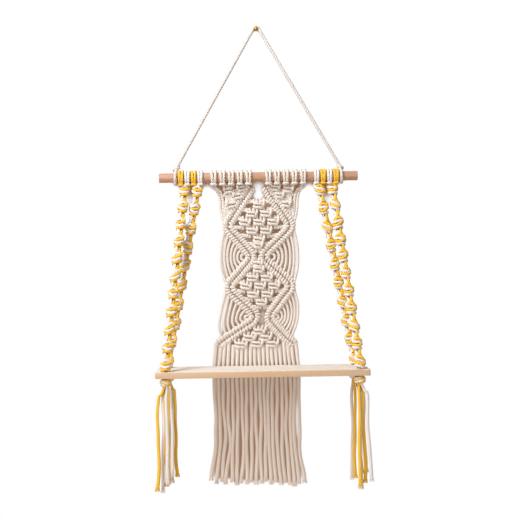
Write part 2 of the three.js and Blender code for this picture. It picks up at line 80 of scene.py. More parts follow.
# Each cotton's material, name and description, and its colours in the order of the tones
COTTONS = {
    "ivory": ("ivory_cotton_cord", "Ivory cotton", "Undyed cotton", "#EDE7E3", "#E6DACF", "#E8D2BE"),
    # The fringe's cotton is a copy of the ivory one with a lighter crest and a much darker, warmer deep tone:
    # painted shade of the board
    "fringe": ("ivory_cotton_fringe_painted_shade", "Fringe cotton", "Undyed cotton in the board's shade",
               "#FBF1EA", "#EAD8CA", "#BC8C68"),
    "white": ("white_cotton_cord", "White cotton", "Bleached cotton", "#F6F4F5", "#E4DAD4", "#BC9276"),
    # The hanger rope's cotton is the white cotton darkened: painted shade of the dimmer light at the top
    "rope": ("white_cotton_rope_painted_shade", "White rope", "Bleached hanger rope", "#E2DCDA", "#DED6D1", "#D6C6BA"),
    "yellow": ("yellow_dyed_cotton_cord", "Yellow cotton", "Dyed cotton", "#FFD250", "#F2B236", "#C46C0E"),
}
# The tones paint shade into each cotton's colour. The crest tone is the cotton's own colour. The shade tone
# is painted shade in the grooves between the plies. The deep tone is painted shade, warmed as by light gone
# from cord to cord, where other cords come close
TONES = {
    "": ("", "on the plies' crests"),
    "_shade": (" shade", "between the plies"),
    "_painted_gap_shade": (" depth", "deep between cords"),
}


def linear(code):
    """An sRGB hex value as linear red, green, blue and alpha."""
    shares = [int(code[i:i + 2], 16) / 255 for i in (1, 3, 5)]
    return (*(s / 12.92 if s <= 0.04045 else ((s + 0.055) / 1.055) ** 2.4 for s in shares), 1)


def length_value(name, description, default):
    return bpy.props.FloatProperty(
        name=name, description=description, default=default, min=0, unit="LENGTH", subtype="DISTANCE")


def colour_value(name, description, code):
    return bpy.props.FloatVectorProperty(
        name=name, description=description, default=linear(code), size=4, min=0, max=1, subtype="COLOR")


class RopeShelfSizes(bpy.types.PropertyGroup):
    cord: length_value("Cord", "Diameter of the cotton cord", 5.5 * MM)
    hanger: length_value("Hanger rope", "Diameter of the hanger rope", 6.5 * MM)
    fringe_cord: length_value("Fringe cord", "Diameter of the fringe's cord, which has opened", 7.5 * MM)
    tassel_cord: length_value("Tassel cord", "Diameter of the tassels' cord, which has opened", 6.6 * MM)
    dowel_length: length_value("Dowel length", "Length of the dowel", 400 * MM)
    dowel_diameter: length_value("Dowel diameter", "Diameter of the dowel", 19 * MM)
    board_length: length_value("Board length", "Length of the board", 410 * MM)
    board_depth: length_value("Board depth", "Depth of the board, from front to back", 130 * MM)
    board_thickness: length_value("Board thickness", "Thickness of the board", 12 * MM)
    hole_diameter: length_value("Hole diameter", "Diameter of the board's four holes", 15.2 * MM)
    knot_width: length_value("Sennit knot width", "Width of a sennit's knots", 21 * MM)
    ridge_width: length_value("Ridge width", "Width of one hitched ridge", 12.4 * MM)
    fringe_length: length_value("Fringe length", "Length of a fringe strand below the board", 228 * MM)
    tassel_length: length_value("Tassel length", "Length of a tassel strand below its knot", 196 * MM)
    nail_head: length_value("Nail head", "Diameter of the nail's head", 9 * MM)


class RopeShelfColours(bpy.types.PropertyGroup):
    beech: colour_value("Beech", "Pale growth of the dowel", "#CBA38B")
    beech_grain: colour_value("Beech grain", "Flecks and late growth of the dowel", "#BC8A6C")
    pine: colour_value("Pine", "Face of the board", "#EAE4E0")
    pine_grain: colour_value("Pine grain", "Late growth of the board's face", "#EADBCA")
    # The edge tone is partly the saw-cut wood's own colour and partly painted shade on the board's sides
    pine_edge_and_shade: colour_value("Pine edge", "Sawn edges of the board", "#EED3B6")
    brass: colour_value("Brass", "Metal of the nail", "#B98A3E")
    brass_dull: colour_value("Dull brass", "Tone that dulls the nail's grain", "#E7DFD4")
    # The wall tone is painted shade: a tan that the camera sees only close behind cords
    wall: colour_value("Wall", "Plaster behind the shelf", "#DDBFA8")
    floor: colour_value("Floor", "Pale floor below the shelf", "#E7E6E3")


for key, (_, name, description, *codes) in COTTONS.items():
    for (tone, (word, where)), code in zip(TONES.items(), codes):
        RopeShelfColours.__annotations__[key + tone] = colour_value(
            name + word, f"{description} {where}", code)


def linked(name, data):
    """A new object of that data, in the scene."""
    made = bpy.data.objects.new(name, data)
    bpy.context.scene.collection.objects.link(made)
    return made


def mesh_of(edit, name):
    """What was edited, as a mesh."""
    mesh = bpy.data.meshes.new(name)
    edit.to_mesh(mesh)
    edit.free()
    return mesh


# Cords

def smooth(points, step=CORD_STEP):
    """Points a step apart along a round line through the given ones, which may be unevenly spaced."""
    line = [points[0] * 2 - points[1], *points, points[-1] * 2 - points[-2]]
    spans = [(b - a).length for a, b in zip(line, line[1:])]
    speeds = [((b - a) / before * after + (c - b) / after * before) / (before + after)
              for a, b, c, before, after in zip(line, line[1:], line[2:], spans, spans[1:])]
    result = []
    for a, b, leaving, arriving in zip(points, points[1:], speeds, speeds[1:]):
        span = (b - a).length
        count = max(2, math.ceil(span / step))
        for k in range(count):
            t = k / count
            result.append(
                a * (2 * t ** 3 - 3 * t ** 2 + 1) + b * (3 * t ** 2 - 2 * t ** 3)
                + leaving * span * (t ** 3 - 2 * t ** 2 + t) + arriving * span * (t ** 3 - t ** 2))
    return [*result, points[-1].copy()]


def even(points, step=CORD_STEP):
    """The same line in even steps."""
    result = [points[0]]
    left = step
    for a, b in zip(points, points[1:]):
        span = (b - a).length
        while span >= left:
            a = a.lerp(b, left / span)
            span -= left
            left = step
            result.append(a)
        left -= span
    if (points[-1] - result[-1]).length > step / 2:
        result.append(points[-1])
    return result


def mirrored(points, side):
    """The points for that side, where they are given for the left one."""
    return points if side < 0 else [Vector((-p.x, p.y, p.z)) for p in points]


def smoothstep(low, high, value):
    t = min(1, max(0, (value - low) / (high - low)))
    return t * t * (3 - 2 * t)


def lay_profile():
    """The section of three plies round a unit circle, made once and removed at the end."""
    found = bpy.data.objects.get("lay_profile")
    if found:
        return found
    curve = bpy.data.curves.new("lay_profile", "CURVE")
    spline = curve.splines.new("POLY")
    places = [(ply * 360 / PLIES + angle, reach) for ply in range(PLIES) for angle, reach in PLY_SHARES]
    spline.points.add(len(places) - 1)
    for point, (angle, reach) in zip(spline.points, places):
        turn = -math.radians(angle)
        point.co = (reach * math.cos(turn), reach * math.sin(turn), 0, 1)
    spline.use_cyclic_u = True
    return linked("lay_profile", curve)


def as_piece(name, mesh, node, body):
    """A finished mesh as a piece that stands for a node and rides on its body."""
    piece = linked(name, mesh)
    if body:
        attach(piece, body)
    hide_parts(node)
    return piece


def wound(name, cords, finishes):
    """One mesh of twisted cords, each given as its points, its radius or radii and its finish's index."""
    curve = bpy.data.curves.new(name, "CURVE")
    curve.dimensions = "3D"
    curve.twist_mode = "MINIMUM"
    curve.bevel_mode = "OBJECT"
    curve.bevel_object = lay_profile()
    curve.use_fill_caps = True
    for finish in finishes:
        curve.materials.append(finish)
    for points, radius, finish in cords:
        spline = curve.splines.new("POLY")
        spline.points.add(len(points) - 1)
        spline.material_index = finish
        radii = radius if isinstance(radius, list) else [radius] * len(points)
        run = 0
        for i, point in enumerate(spline.points):
            run += (points[i] - points[max(i - 1, 0)]).length
            point.co = (*points[i], 1)
            point.radius = radii[i]
            point.tilt = 2 * math.pi * run / LAY_PITCH
    maker = linked(name, curve)
    bpy.context.view_layer.update()
    evaluated = maker.evaluated_get(bpy.context.evaluated_depsgraph_get())
    mesh = bpy.data.meshes.new_from_object(evaluated)
    mesh.name = name
    bpy.data.objects.remove(maker)
    bpy.data.curves.remove(curve)
    edit = bmesh.new()
    edit.from_mesh(mesh)
    bmesh.ops.remove_doubles(edit, verts=edit.verts, dist=WELD)
    edit.to_mesh(mesh)
    edit.free()
    return mesh


# Materials

def add_node(tree, kind, inputs=(), **settings):
    """Adds a node with its settings. An input is a value, or a socket or a node's first output to link."""
    made = tree.nodes.new("ShaderNode" + kind)
    for key, value in settings.items():
        setattr(made, key, value)
    for key, value in inputs.items() if isinstance(inputs, dict) else enumerate(inputs):
        if isinstance(value, bpy.types.Node):
            value = value.outputs[0]
        if isinstance(value, bpy.types.NodeSocket):
            tree.links.new(value, made.inputs[key])
        else:
            made.inputs[key].default_value = value
    return made


def blank_material(name):
    """A new material and its empty tree."""
    made = bpy.data.materials.new(name)
    made.use_nodes = True
    made.node_tree.nodes.clear()
    return made, made.node_tree


def cotton(key):
    """Three-ply cotton cord, loosely spun: matt with a soft fuzz, with painted shade where the plies meet and
    painted warm shade where cords come close.
    """
    name = COTTONS[key][0]
    if name in bpy.data.materials:
        return bpy.data.materials[name]
    material, tree = blank_material(name)
    # The shade and deep tones are painted shade
    crest, shade, deep = (getattr(bpy.context.scene.rope_shelf_colours, key + tone) for tone in TONES)
    place = add_node(tree, "TexCoord").outputs["Object"]
    lay = add_node(tree, "UVMap", uv_map="UVMap")
    parts = add_node(tree, "SeparateXYZ", [lay])
    plies = add_node(tree, "Math", [parts.outputs[1], PLIES], operation="MULTIPLY")
    across = add_node(tree, "Math", [plies, 0.5], operation="PINGPONG")
    crown = add_node(tree, "MapRange", [across, 0.0, 0.3], interpolation_type="SMOOTHSTEP")
    # Uneven spinning, over about 12 mm of cord
    slub = add_node(tree, "TexNoise", {"Vector": place, "Scale": 85.0, "Detail": 2.0, "Roughness": 0.6})
    # Fibres are about 0.02 mm thick and are drawn as tufts of 0.5 mm, so that they show
    fibre = add_node(tree, "TexNoise", {"Vector": place, "Scale": 2000.0, "Detail": 3.0, "Roughness": 0.7})
    tone = add_node(tree, "MapRange", [slub, 0.25, 0.75, 0.9, 1.0])
    light = add_node(tree, "Math", [crown, tone], operation="MULTIPLY")
    # Painted shade in the grooves between the plies: the shade tone there, the crest tone on the crowns
    lay_colour = add_node(tree, "Mix", {0: light, 6: shade, 7: crest}, data_type="RGBA")
    # Painted shade: where other cords come within reach, the colour turns to the warm deep tone, which stands
    # in for shade and for light gone from cord to cord
    near = add_node(tree, "AmbientOcclusion", {"Distance": 7 * MM}, samples=4)
    reached = add_node(tree, "MapRange", [near.outputs["AO"], -0.3, 0.55], interpolation_type="SMOOTHSTEP")
    colour = add_node(tree, "Mix", {0: reached, 6: deep, 7: lay_colour.outputs[2]}, data_type="RGBA")
    height = add_node(tree, "Math", [fibre, crown], operation="ADD")
    bump = add_node(tree, "Bump", {"Height": height, "Distance": 0.3 * MM, "Strength": 0.6})
    surface = add_node(tree, "BsdfPrincipled", {
        "Base Color": colour.outputs[2], "Roughness": 0.9, "Normal": bump, "Specular IOR Level": 0.2,
        "Sheen Weight": 0.2, "Sheen Roughness": 0.6, "Sheen Tint": crest})
    add_node(tree, "OutputMaterial", {"Surface": surface})
    return material


def wood(name, pale, dark, edge, grain, fleck):
    """Planed and sanded wood along X: fine late growth, short flecks, and saw-cut sides in a darker tone,
    partly their own and partly painted shade.
    """
    material, tree = blank_material(name)
    place = add_node(tree, "TexCoord")
    along = add_node(tree, "Mapping", {0: place.outputs["Object"], "Scale": (0.04, 1.0, 1.0)})
    rings = add_node(tree, "TexNoise", {
        "Vector": along, "Scale": 1 / grain, "Detail": 4.0, "Roughness": 0.6, "Distortion": 0.6})
    short = add_node(tree, "Mapping", {0: place.outputs["Object"], "Scale": (0.2, 1.0, 1.0)})
    flecks = add_node(tree, "TexNoise", {
        "Vector": short, "Scale": 1 / fleck, "Detail": 2.0, "Roughness": 0.5})
    late = add_node(tree, "MapRange", [rings, 0.38, 0.68], interpolation_type="SMOOTHSTEP")
    fine = add_node(tree, "MapRange", [flecks, 0.45, 0.75, 0.0, 0.2])
    both = add_node(tree, "Math", [late, fine], operation="ADD", use_clamp=True)
    colour = add_node(tree, "Mix", {0: both, 6: pale, 7: dark}, data_type="RGBA")
    # Faces that look up or down are planed. The side faces take the edge tone, which is partly the saw-cut
    # wood's own colour and partly painted shade
    facing = add_node(tree, "SeparateXYZ", [place.outputs["Normal"]])
    flat = add_node(tree, "Math", [facing.outputs[2]], operation="ABSOLUTE")
    sawn_and_shaded = add_node(tree, "MapRange", [flat, 0.35, 0.8, 1.0, 0.0])
    edged = add_node(tree, "Mix", {0: sawn_and_shaded, 6: colour.outputs[2], 7: edge},
                     data_type="RGBA", blend_type="MULTIPLY")
    bump = add_node(tree, "Bump", {"Height": both, "Distance": 0.05 * MM, "Strength": 0.5})
    rough = add_node(tree, "MapRange", [both, 0.0, 1.0, 0.52, 0.66])
    surface = add_node(tree, "BsdfPrincipled", {
        "Base Color": edged.outputs[2], "Roughness": rough, "Normal": bump, "Specular IOR Level": 0.35})
    add_node(tree, "OutputMaterial", {"Surface": surface})
    return material


def brass(colour, dull_tone):
    """Drawn and headed brass wire, rubbed dull: warm metal with a fine grain."""
    material, tree = blank_material("dull_brass")
    place = add_node(tree, "TexCoord").outputs["Object"]
    grain = add_node(tree, "TexNoise", {"Vector": place, "Scale": 1400.0, "Detail": 3.0})
    rough = add_node(tree, "MapRange", [grain, 0.3, 0.7, 0.28, 0.45])
    dull = add_node(tree, "Mix", {0: grain, 6: colour, 7: dull_tone},
                    data_type="RGBA", blend_type="MULTIPLY")
    surface = add_node(tree, "BsdfPrincipled", {
        "Base Color": dull.outputs[2], "Metallic": 1.0, "Roughness": rough})
    add_node(tree, "OutputMaterial", {"Surface": surface})
    return material


# Lark's heads on the dowel

# Half of a head, from the middle of its bar under, behind and over the dowel to the bar's back: the angle
# up from the front, what the reach adds, and the share of the spread
HEAD_ROUTE = (
    (-56, 4.6 * MM, 0), (-58, 4.2 * MM, 0.7), (-78, 1.9 * MM, 1.05), (-110, 0.2 * MM, 1),
    (-150, 0, 1), (-190, 0, 1), (-230, 0, 1), (-270, 0, 1), (-310, 0, 0.9), (-350, 0, 0.76),
    (-385, 0, 0.66), (-412, 0.3 * MM, 0.62),
)


def round_dowel(x, angle, reach):
    """A point round the dowel, its angle up from the front."""
    turn = math.radians(angle)
    return Vector((x, DOWEL_Y - reach * math.cos(turn), DOWEL_Z + reach * math.sin(turn)))


def head_half(x, spread):
    """Half of a lark's head, to the side that the spread's sign gives."""
    sizes = bpy.context.scene.rope_shelf_sizes
    reach = sizes.dowel_diameter / 2 + sizes.cord / 2 + FIT_GAP / 2
    return [round_dowel(x + spread * share, angle, reach + more) for angle, more, share in HEAD_ROUTE]


def head_cord(x, spread, left_run, right_run):
    """A cord folded over the dowel in a lark's head, with the runs that its two halves go on in."""
    left = smooth([*head_half(x, -spread), *left_run])
    right = smooth([*head_half(x, spread), *right_run])
    return [*reversed(left), *right[1:]]


# Sennits

FRONT_SENNIT_KNOTS = 11
BACK_SENNIT_KNOTS = 10
KNOT_HEIGHT = 25 * MM
FIRST_KNOT_Z = DOWEL_Z - 27 * MM
LAST_KNOT_Z = BOARD_TOP + 12.5 * MM
STOPPER_HEIGHT = 17 * MM
OUTER_SENNIT_X = 149.75 * MM
INNER_SENNIT_X = 123.75 * MM
SENNIT_HEAD_PITCH = 13 * MM
SENNIT_HEAD_SPREAD = 3.6 * MM
# The knots hold the cord less tightly than the heads do: how much thicker, and from what drops
KNOT_SWELL = 0.4 * MM
KNOT_SWELL_DROPS = (14 * MM, 20 * MM)
KNOT_CORD_GAP = 0.3 * MM
# How far a hand-tied knot strays in drop, height, width, turn in degrees and slant, but for its ends
KNOT_DROP_PLAY = 2.4 * MM
KNOT_HEIGHT_PLAY = 0.12
KNOT_WIDTH_PLAY = 0.15
KNOT_ROLL = 45
KNOT_LEAN = 0.35
KNOT_LEAN_MIDDLE = 0.1
KNOT_FREE_SHARES = (-0.52, -0.35)
# Through the hole: the drop below the board's top, and the shares of the turn to the tassel and of the reach
BUNDLE_REACH = 3.9 * MM
BUNDLE_ROUTE = ((0, 0, 1), (6 * MM, 0.5, 0.8), (11 * MM, 1, 1))
STOPPER_STEPS = 40
STOPPER_INSET = 3 * MM
STOPPER_SWELL = 4.4 * MM
STOPPER_EASE_SHARE = 0.22
# The winding cords' routes through a knot: across and back as shares of the knot's reach, the front
# negative, and down as shares of its height. One goes over the top and under the middle, the other hooks
# down the side, over the middle and over the foot
OVER_ROUTE = (
    (-0.34, -0.34, -0.52), (-0.5, -0.1, -0.44), (-0.8, 0.1, -0.3), (-1.02, -0.1, -0.14),
    (-0.84, -0.68, -0.17), (-0.42, -0.95, -0.28), (0.08, -1.0, -0.33), (0.55, -0.85, -0.28),
    (0.92, -0.4, -0.16), (0.9, 0.35, -0.06), (0, 0.85, -0.02), (-0.8, 0.5, -0.01),
    (-1.02, -0.2, 0.03), (-0.76, -0.78, 0.13), (-0.3, -1.02, 0.21), (0.2, -1.05, 0.23),
    (0.66, -0.86, 0.17), (1.0, -0.25, 0.08), (0.8, 0.5, 0.16), (0, 0.75, 0.3),
    (-0.5, 0.35, 0.42), (-0.34, -0.34, 0.52),
)
HOOK_ROUTE = (
    (0.34, -0.34, -0.52), (0.66, -0.36, -0.45), (1.0, -0.42, -0.33), (1.08, -0.6, -0.2),
    (0.72, -0.86, -0.09), (0.3, -1.0, -0.06), (-0.2, -1.02, -0.03), (-0.66, -0.84, 0),
    (-0.95, -0.42, 0.02), (-0.97, 0.14, 0.06), (-0.5, 0.7, 0.125), (0.3, 0.8, 0.2),
    (0.95, 0.3, 0.24), (0.92, -0.4, 0.31), (0.42, -0.82, 0.36), (-0.2, -0.8, 0.38),
    (-0.66, -0.4, 0.4), (-0.66, 0.1, 0.43), (-0.2, 0.45, 0.47), (0.36, 0.1, 0.52),
)
# Core cords change sides in each knot
CORE_ROUTE = ((-0.36, 0.36, -0.52), (-0.3, 0.3, -0.3), (0, 0.1, 0), (0.3, 0.3, 0.3), (0.36, 0.36, 0.52))
# Whether each strand is yellow, of which half of its head, and its route on the left and on the right
SENNIT_STRANDS = {
    "yellow_winder": (1, -1, HOOK_ROUTE, OVER_ROUTE),
    "yellow_core": (1, 1, CORE_ROUTE, CORE_ROUTE),
    "white_core": (0, -1, CORE_ROUTE, CORE_ROUTE),
    "white_winder": (0, 1, OVER_ROUTE, HOOK_ROUTE),
}
# The angles that the strands have below the board, above the tassels, on the left and on the right
BELOW_BOARD = {
    -1: {"yellow_winder": 225, "yellow_core": 45, "white_core": 315, "white_winder": 135},
    1: {"yellow_winder": 315, "yellow_core": 135, "white_core": 225, "white_winder": 45},
}


def sennit_run(top, bottom, knots, route, way, below, seed):
    """The line of one strand from the first knot down through the board and the stopper knot."""
    sizes = bpy.context.scene.rope_shelf_sizes
    line = bottom - top
    down = line.normalized()
    across = (Vector((1, 0, 0)) - down * down.x).normalized()
    back = across.cross(down)
    pitch = line.length / (knots - 1)
    reach = (sizes.knot_width - sizes.cord) / 2 + KNOT_CORD_GAP
    points = []
    for knot in range(knots):
        # No two hand-tied knots pull up to the same height, width and turn
        loose = [noise.noise(Vector((seed * 5.3, knot * 2.7, which))) for which in range(3)]
        inner_knot = 0 < knot < knots - 1
        middle = top + down * (knot * pitch + KNOT_DROP_PLAY * loose[0] * inner_knot)
        tall = KNOT_HEIGHT * (1 + KNOT_HEIGHT_PLAY * loose[1] * inner_knot)
        for u, w, v in route:
            inside = smoothstep(*KNOT_FREE_SHARES, -abs(v))
            roll = math.radians(KNOT_ROLL) * loose[2] * inside
            wide = reach * (1 + KNOT_WIDTH_PLAY * loose[0] * inside)
            u *= way if route is not CORE_ROUTE or knot % 2 == 0 else -way
            v += KNOT_LEAN * (loose[1] - KNOT_LEAN_MIDDLE) * u * inside
            points.append(middle + down * tall * v
                          + across * wide * (u * math.cos(roll) - w * math.sin(roll))
                          + back * wide * (w * math.cos(roll) + u * math.sin(roll)))
    points = smooth(points)
    turn = math.atan2(w, u)
    rest = math.remainder(math.radians(below) - turn, 2 * math.pi)

    def round_hole(theta, wide, z):
        return Vector((bottom.x + wide * math.cos(theta), bottom.y + wide * math.sin(theta), z))

    bundle = []
    for drop, turn_share, reach_share in BUNDLE_ROUTE:
        bundle.append(round_hole(turn + rest * turn_share, BUNDLE_REACH * reach_share, BOARD_TOP - drop))
    stopper = []
    for k in range(STOPPER_STEPS + 1):
        share = k / STOPPER_STEPS
        ease = smoothstep(0, STOPPER_EASE_SHARE, share) * smoothstep(0, STOPPER_EASE_SHARE, 1 - share)
        stopper.append(round_hole(
            turn + rest + 2 * math.pi * share, BUNDLE_REACH + STOPPER_SWELL * ease,
            BOARD_BOTTOM - STOPPER_INSET - (STOPPER_HEIGHT - 2 * STOPPER_INSET) * share))
    tail = stopper[-1] - Vector((0, 0, STOPPER_INSET))
    return [*points, *smooth(bundle), *even(stopper), tail]


def sennit_cords(side, head_x, hole_y, knots, seed):
    """The yellow and the white cord of a sennit."""
    sizes = bpy.context.scene.rope_shelf_sizes
    top = Vector((-head_x, DOWEL_Y, FIRST_KNOT_Z))
    bottom = Vector((-HOLE_X, hole_y, LAST_KNOT_Z))
    runs = {}
    for name, (_, _, *routes) in SENNIT_STRANDS.items():
        route = routes[(side + 1) // 2]
        way = -1 if name == "white_core" else 1
        runs[name] = sennit_run(top, bottom, knots, route, way, BELOW_BOARD[side][name], seed)
    cords = []
    for yellow in (1, 0):
        halves = {half: runs[name] for name, (own, half, *_) in SENNIT_STRANDS.items() if own == yellow}
        x = -head_x - SENNIT_HEAD_PITCH * (yellow - 0.5)
        line = head_cord(x, SENNIT_HEAD_SPREAD, halves[-1], halves[1])
        radii = [sizes.cord / 2 + KNOT_SWELL * smoothstep(*KNOT_SWELL_DROPS, DOWEL_Z - place.z)
                 for place in line]
        cords.append((mirrored(line, side), radii, yellow))
    return cords


class SHELF_OT_sennits(bpy.types.Operator):
    """Make the four knotted sennits that carry the board, with their lark's heads and stopper knots"""
    bl_idname = "rope_shelf.sennits"
    bl_label = "Make the sennits"

    def execute(self, context):
        finishes = [cotton("white"), cotton("yellow")]
        for word, side in SIDES:
            for row, head_x, hole_y, knots in (("front", OUTER_SENNIT_X, FRONT_HOLE_Y, FRONT_SENNIT_KNOTS),
                                               ("back", INNER_SENNIT_X, BACK_HOLE_Y, BACK_SENNIT_KNOTS)):
                node = f"{word}_{row}_sennit"
                cords = sennit_cords(side, head_x, hole_y, knots, side + knots)
                mesh = wound(node + "_cords", cords, finishes)
                as_piece(node + "_cords", mesh, node, "shelf")
        return {"FINISHED"}


# Tassels and fringe

TASSEL_GAP = 0.7 * MM
TASSEL_HALF_PITCH = 2.65 * MM
TASSEL_DEPTH_SPREAD = 5.5 * MM
TASSEL_WAVE = 1.6 * MM
TASSEL_STRANDS = (("yellow_1", -1, -1), ("white_1", 1, -1), ("yellow_2", 1, 1), ("white_2", -1, 1))
# How far each strand hangs to the right of its knot: yellow 1, white 1, yellow 2, white 2
TASSEL_SPREADS = {
    (-1, "front"): (-17 * MM, 3.5 * MM, -1.5 * MM, -8 * MM),
    (-1, "back"): (-2 * MM, 6 * MM, 15 * MM, 3 * MM),
    (1, "front"): (-4.5 * MM, 17 * MM, 8.5 * MM, 0),
    (1, "back"): (-1.5 * MM, 19 * MM, 12 * MM, -7 * MM),
}
# A strand bows out below its knot, comes in and flares, as shares of its length and of its spread
TASSEL_BOW_SHARES = (
    (0, 0), (0.07, 0.5), (0.15, 0.95), (0.26, 1), (0.45, 0.84), (0.65, 0.8), (0.85, 0.9), (1, 1.05))
TASSEL_BOW = smooth([Vector((run, reach, 0)) for run, reach in TASSEL_BOW_SHARES], 0.02)
TASSEL_LENGTH_SHARES = (1.0, 0.94, 0.97, 1.03)
FRINGE_STRANDS = 20
FRINGE_TOP_HALF_WIDTH = 84 * MM
FRINGE_NARROW_SHARE = 0.93
FRINGE_HANG_SHARE = 0.955
FRINGE_FLARE_SHARE = 0.14
FRINGE_FLARE_SPAN = (0.6, 1.05)
FRINGE_WAVE = 1.9 * MM
# The panel's foot and the fringe hang to the left, the left edge most, and between these drops turn there
FOOT_SHIFT = 8 * MM
FOOT_SPREAD = 4 * MM
FOOT_SHIFT_DROPS = (250 * MM, 335 * MM)
FRINGE_LENGTH_SHARES = (
    0.955, 0.985, 0.97, 0.99, 0.975, 1.0, 0.985, 0.995, 0.98, 1.0,
    0.99, 0.975, 1.0, 0.985, 1.005, 0.99, 1.01, 1.02, 1.0, 0.99,
)
# Strands bend with their joint from a little above their top to some way below it
BEND_ABOVE = 2 * MM
WAVE_LENGTH = 60 * MM
WAVE_STEPS = 17
WAVE_EASE_SHARE = 0.25
# A cord opens over these distances from its knot, and goes on opening to its end
OPEN_SPAN = (8 * MM, 22 * MM)
OPEN_SHARE = 0.9
OPEN_GROWTH_SHARE = 0.2
# At its end it comes apart into yarns, two to a ply, that stand off more and get thinner
FRAY = 14 * MM
YARNS = 2 * PLIES
YARN_REACH = 1.2 * MM
YARN_SPREAD = 2.9 * MM
YARN_WAVE = 0.5 * MM
YARN_SHARE = 0.45
YARN_THINNING_SHARE = 0.13
YARN_OVERLAP_STEPS = 3


def foot_shift(x, drop):
    """How far the panel's foot and the fringe hang to the left of the middle, most at the left edge."""
    aside = FOOT_SHIFT + FOOT_SPREAD * max(0, -x) / FRINGE_TOP_HALF_WIDTH
    return -aside * smoothstep(*FOOT_SHIFT_DROPS, drop)


def hanging_line(top, bottom, seed, sway):
    """A limp cord's line from a fixed top to its free end, with the small waves that knots leave in it."""
    points = []
    for k in range(WAVE_STEPS + 1):
        share = k / WAVE_STEPS
        place = top.lerp(bottom, share)
        free = smoothstep(0, WAVE_EASE_SHARE, share)
        drop = share * (top - bottom).length / WAVE_LENGTH
        place.x += sway * free * 2 * noise.noise(Vector((seed * 3.7, drop, 0.3)))
        place.y += sway * free * noise.noise(Vector((seed * 2.3, drop, 7.1)))
        points.append(place)
    return smooth(points)


def bow_at(share):
    """How far a tassel's strand has come to its spread at a share of its length."""
    for a, b in zip(TASSEL_BOW, TASSEL_BOW[1:]):
        if share <= b.x:
            return a.y + (b.y - a.y) * (share - a.x) / (b.x - a.x)
    return TASSEL_BOW[-1].y


def opened(line, tight, loose, fixed):
    """The radii of a cord that opens away from its fixed end, which is the first or the last."""
    far = [(place - line[fixed]).length for place in line]
    wide = [loose * (OPEN_SHARE + OPEN_GROWTH_SHARE * run / max(far)) for run in far]
    return [tight + (full - tight) * smoothstep(*OPEN_SPAN, run) for full, run in zip(wide, far)]


def frayed(line, tight, radius, seed):
    """A cord that opens below its knot, and whose last stretch comes apart into its yarns."""
    cut = len(line) - int(FRAY / CORD_STEP)
    body = line[:cut + 1]
    rest = line[cut - YARN_OVERLAP_STEPS:]
    shares = [k / (len(rest) - 1) for k in range(len(rest))]
    cords = [(body, opened(body, tight, radius, 0), 0)]
    for yarn in range(YARNS):
        turn = 2 * math.pi * (yarn / YARNS + 0.13 * seed)
        out = Vector((math.cos(turn), math.sin(turn), 0))
        points = [place + out * (YARN_REACH + YARN_SPREAD * share)
                  + Vector((YARN_WAVE * noise.noise(Vector((seed, yarn, share * 3))), 0, 0)) * share
                  for place, share in zip(rest, shares)]
        cords.append((points, [radius * (YARN_SHARE - YARN_THINNING_SHARE * share) for share in shares], 0))
    return cords


def free_strand(node, line, thickness, key, seed):
    """A free end of that cotton as a cord piece, its line carried up into what holds it."""
    top = line[0]
    cord = bpy.context.scene.rope_shelf_sizes.cord
    line = [top + Vector((0, 0, 2 * BEND_ABOVE)), top + Vector((0, 0, BEND_ABOVE)), *line]
    mesh = wound(node + "_cord", frayed(line, cord / 2, thickness / 2, seed), [cotton(key)])
    strand = as_piece(node + "_cord", mesh, node, None)
    return strand


class SHELF_OT_fringe(bpy.types.Operator):
    """Make the twenty free strands below the panel"""
    bl_idname = "rope_shelf.fringe"
    bl_label = "Make the fringe"

    def execute(self, context):
        sizes = context.scene.rope_shelf_sizes
        for i in range(FRINGE_STRANDS):
            x = -FRINGE_TOP_HALF_WIDTH + 2 * FRINGE_TOP_HALF_WIDTH * i / (FRINGE_STRANDS - 1)
            length = sizes.fringe_length * FRINGE_LENGTH_SHARES[i]
            top = Vector((x + foot_shift(x, DOWEL_Z - BOARD_BOTTOM), PANEL_Y, BOARD_BOTTOM - FIT_GAP))
            lean = Vector((x * (FRINGE_HANG_SHARE - 1), 0, -length)).normalized() * length
            line = hanging_line(top, top + lean, i, FRINGE_WAVE)
            for place in line:
                down = (top.z - place.z) / length
                place.x += x * FRINGE_FLARE_SHARE * smoothstep(*FRINGE_FLARE_SPAN, down)
            # The fringe's cotton carries painted shade of the board
            strand = free_strand(f"fringe_strand_{i + 1:02d}", line, sizes.fringe_cord, "fringe", i)
            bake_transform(strand)
        return {"FINISHED"}


def tassel_strand(body, side, hole_y, i, spread):
    """One strand of a tassel, with how far it hangs to the right of its knot."""
    sizes = bpy.context.scene.rope_shelf_sizes
    word, u, v = TASSEL_STRANDS[i]
    length = sizes.tassel_length * TASSEL_LENGTH_SHARES[i]
    top = Vector((side * HOLE_X + u * TASSEL_HALF_PITCH, hole_y + v * TASSEL_HALF_PITCH,
                  BOARD_BOTTOM - STOPPER_HEIGHT - TASSEL_GAP))
    lean = Vector((u * TASSEL_HALF_PITCH, v * TASSEL_DEPTH_SPREAD, -length)).normalized() * length
    seed = 31 + 4 * (side + 1) + 9 * hole_y / FRONT_HOLE_Y + i
    line = hanging_line(top, top + lean, seed, TASSEL_WAVE)
    for place in line:
        place.x += (spread - 2 * u * TASSEL_HALF_PITCH) * bow_at((top.z - place.z) / length)
    strand = free_strand(f"{body}_{word}", line, sizes.tassel_cord, word.partition("_")[0], seed)
    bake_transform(strand)


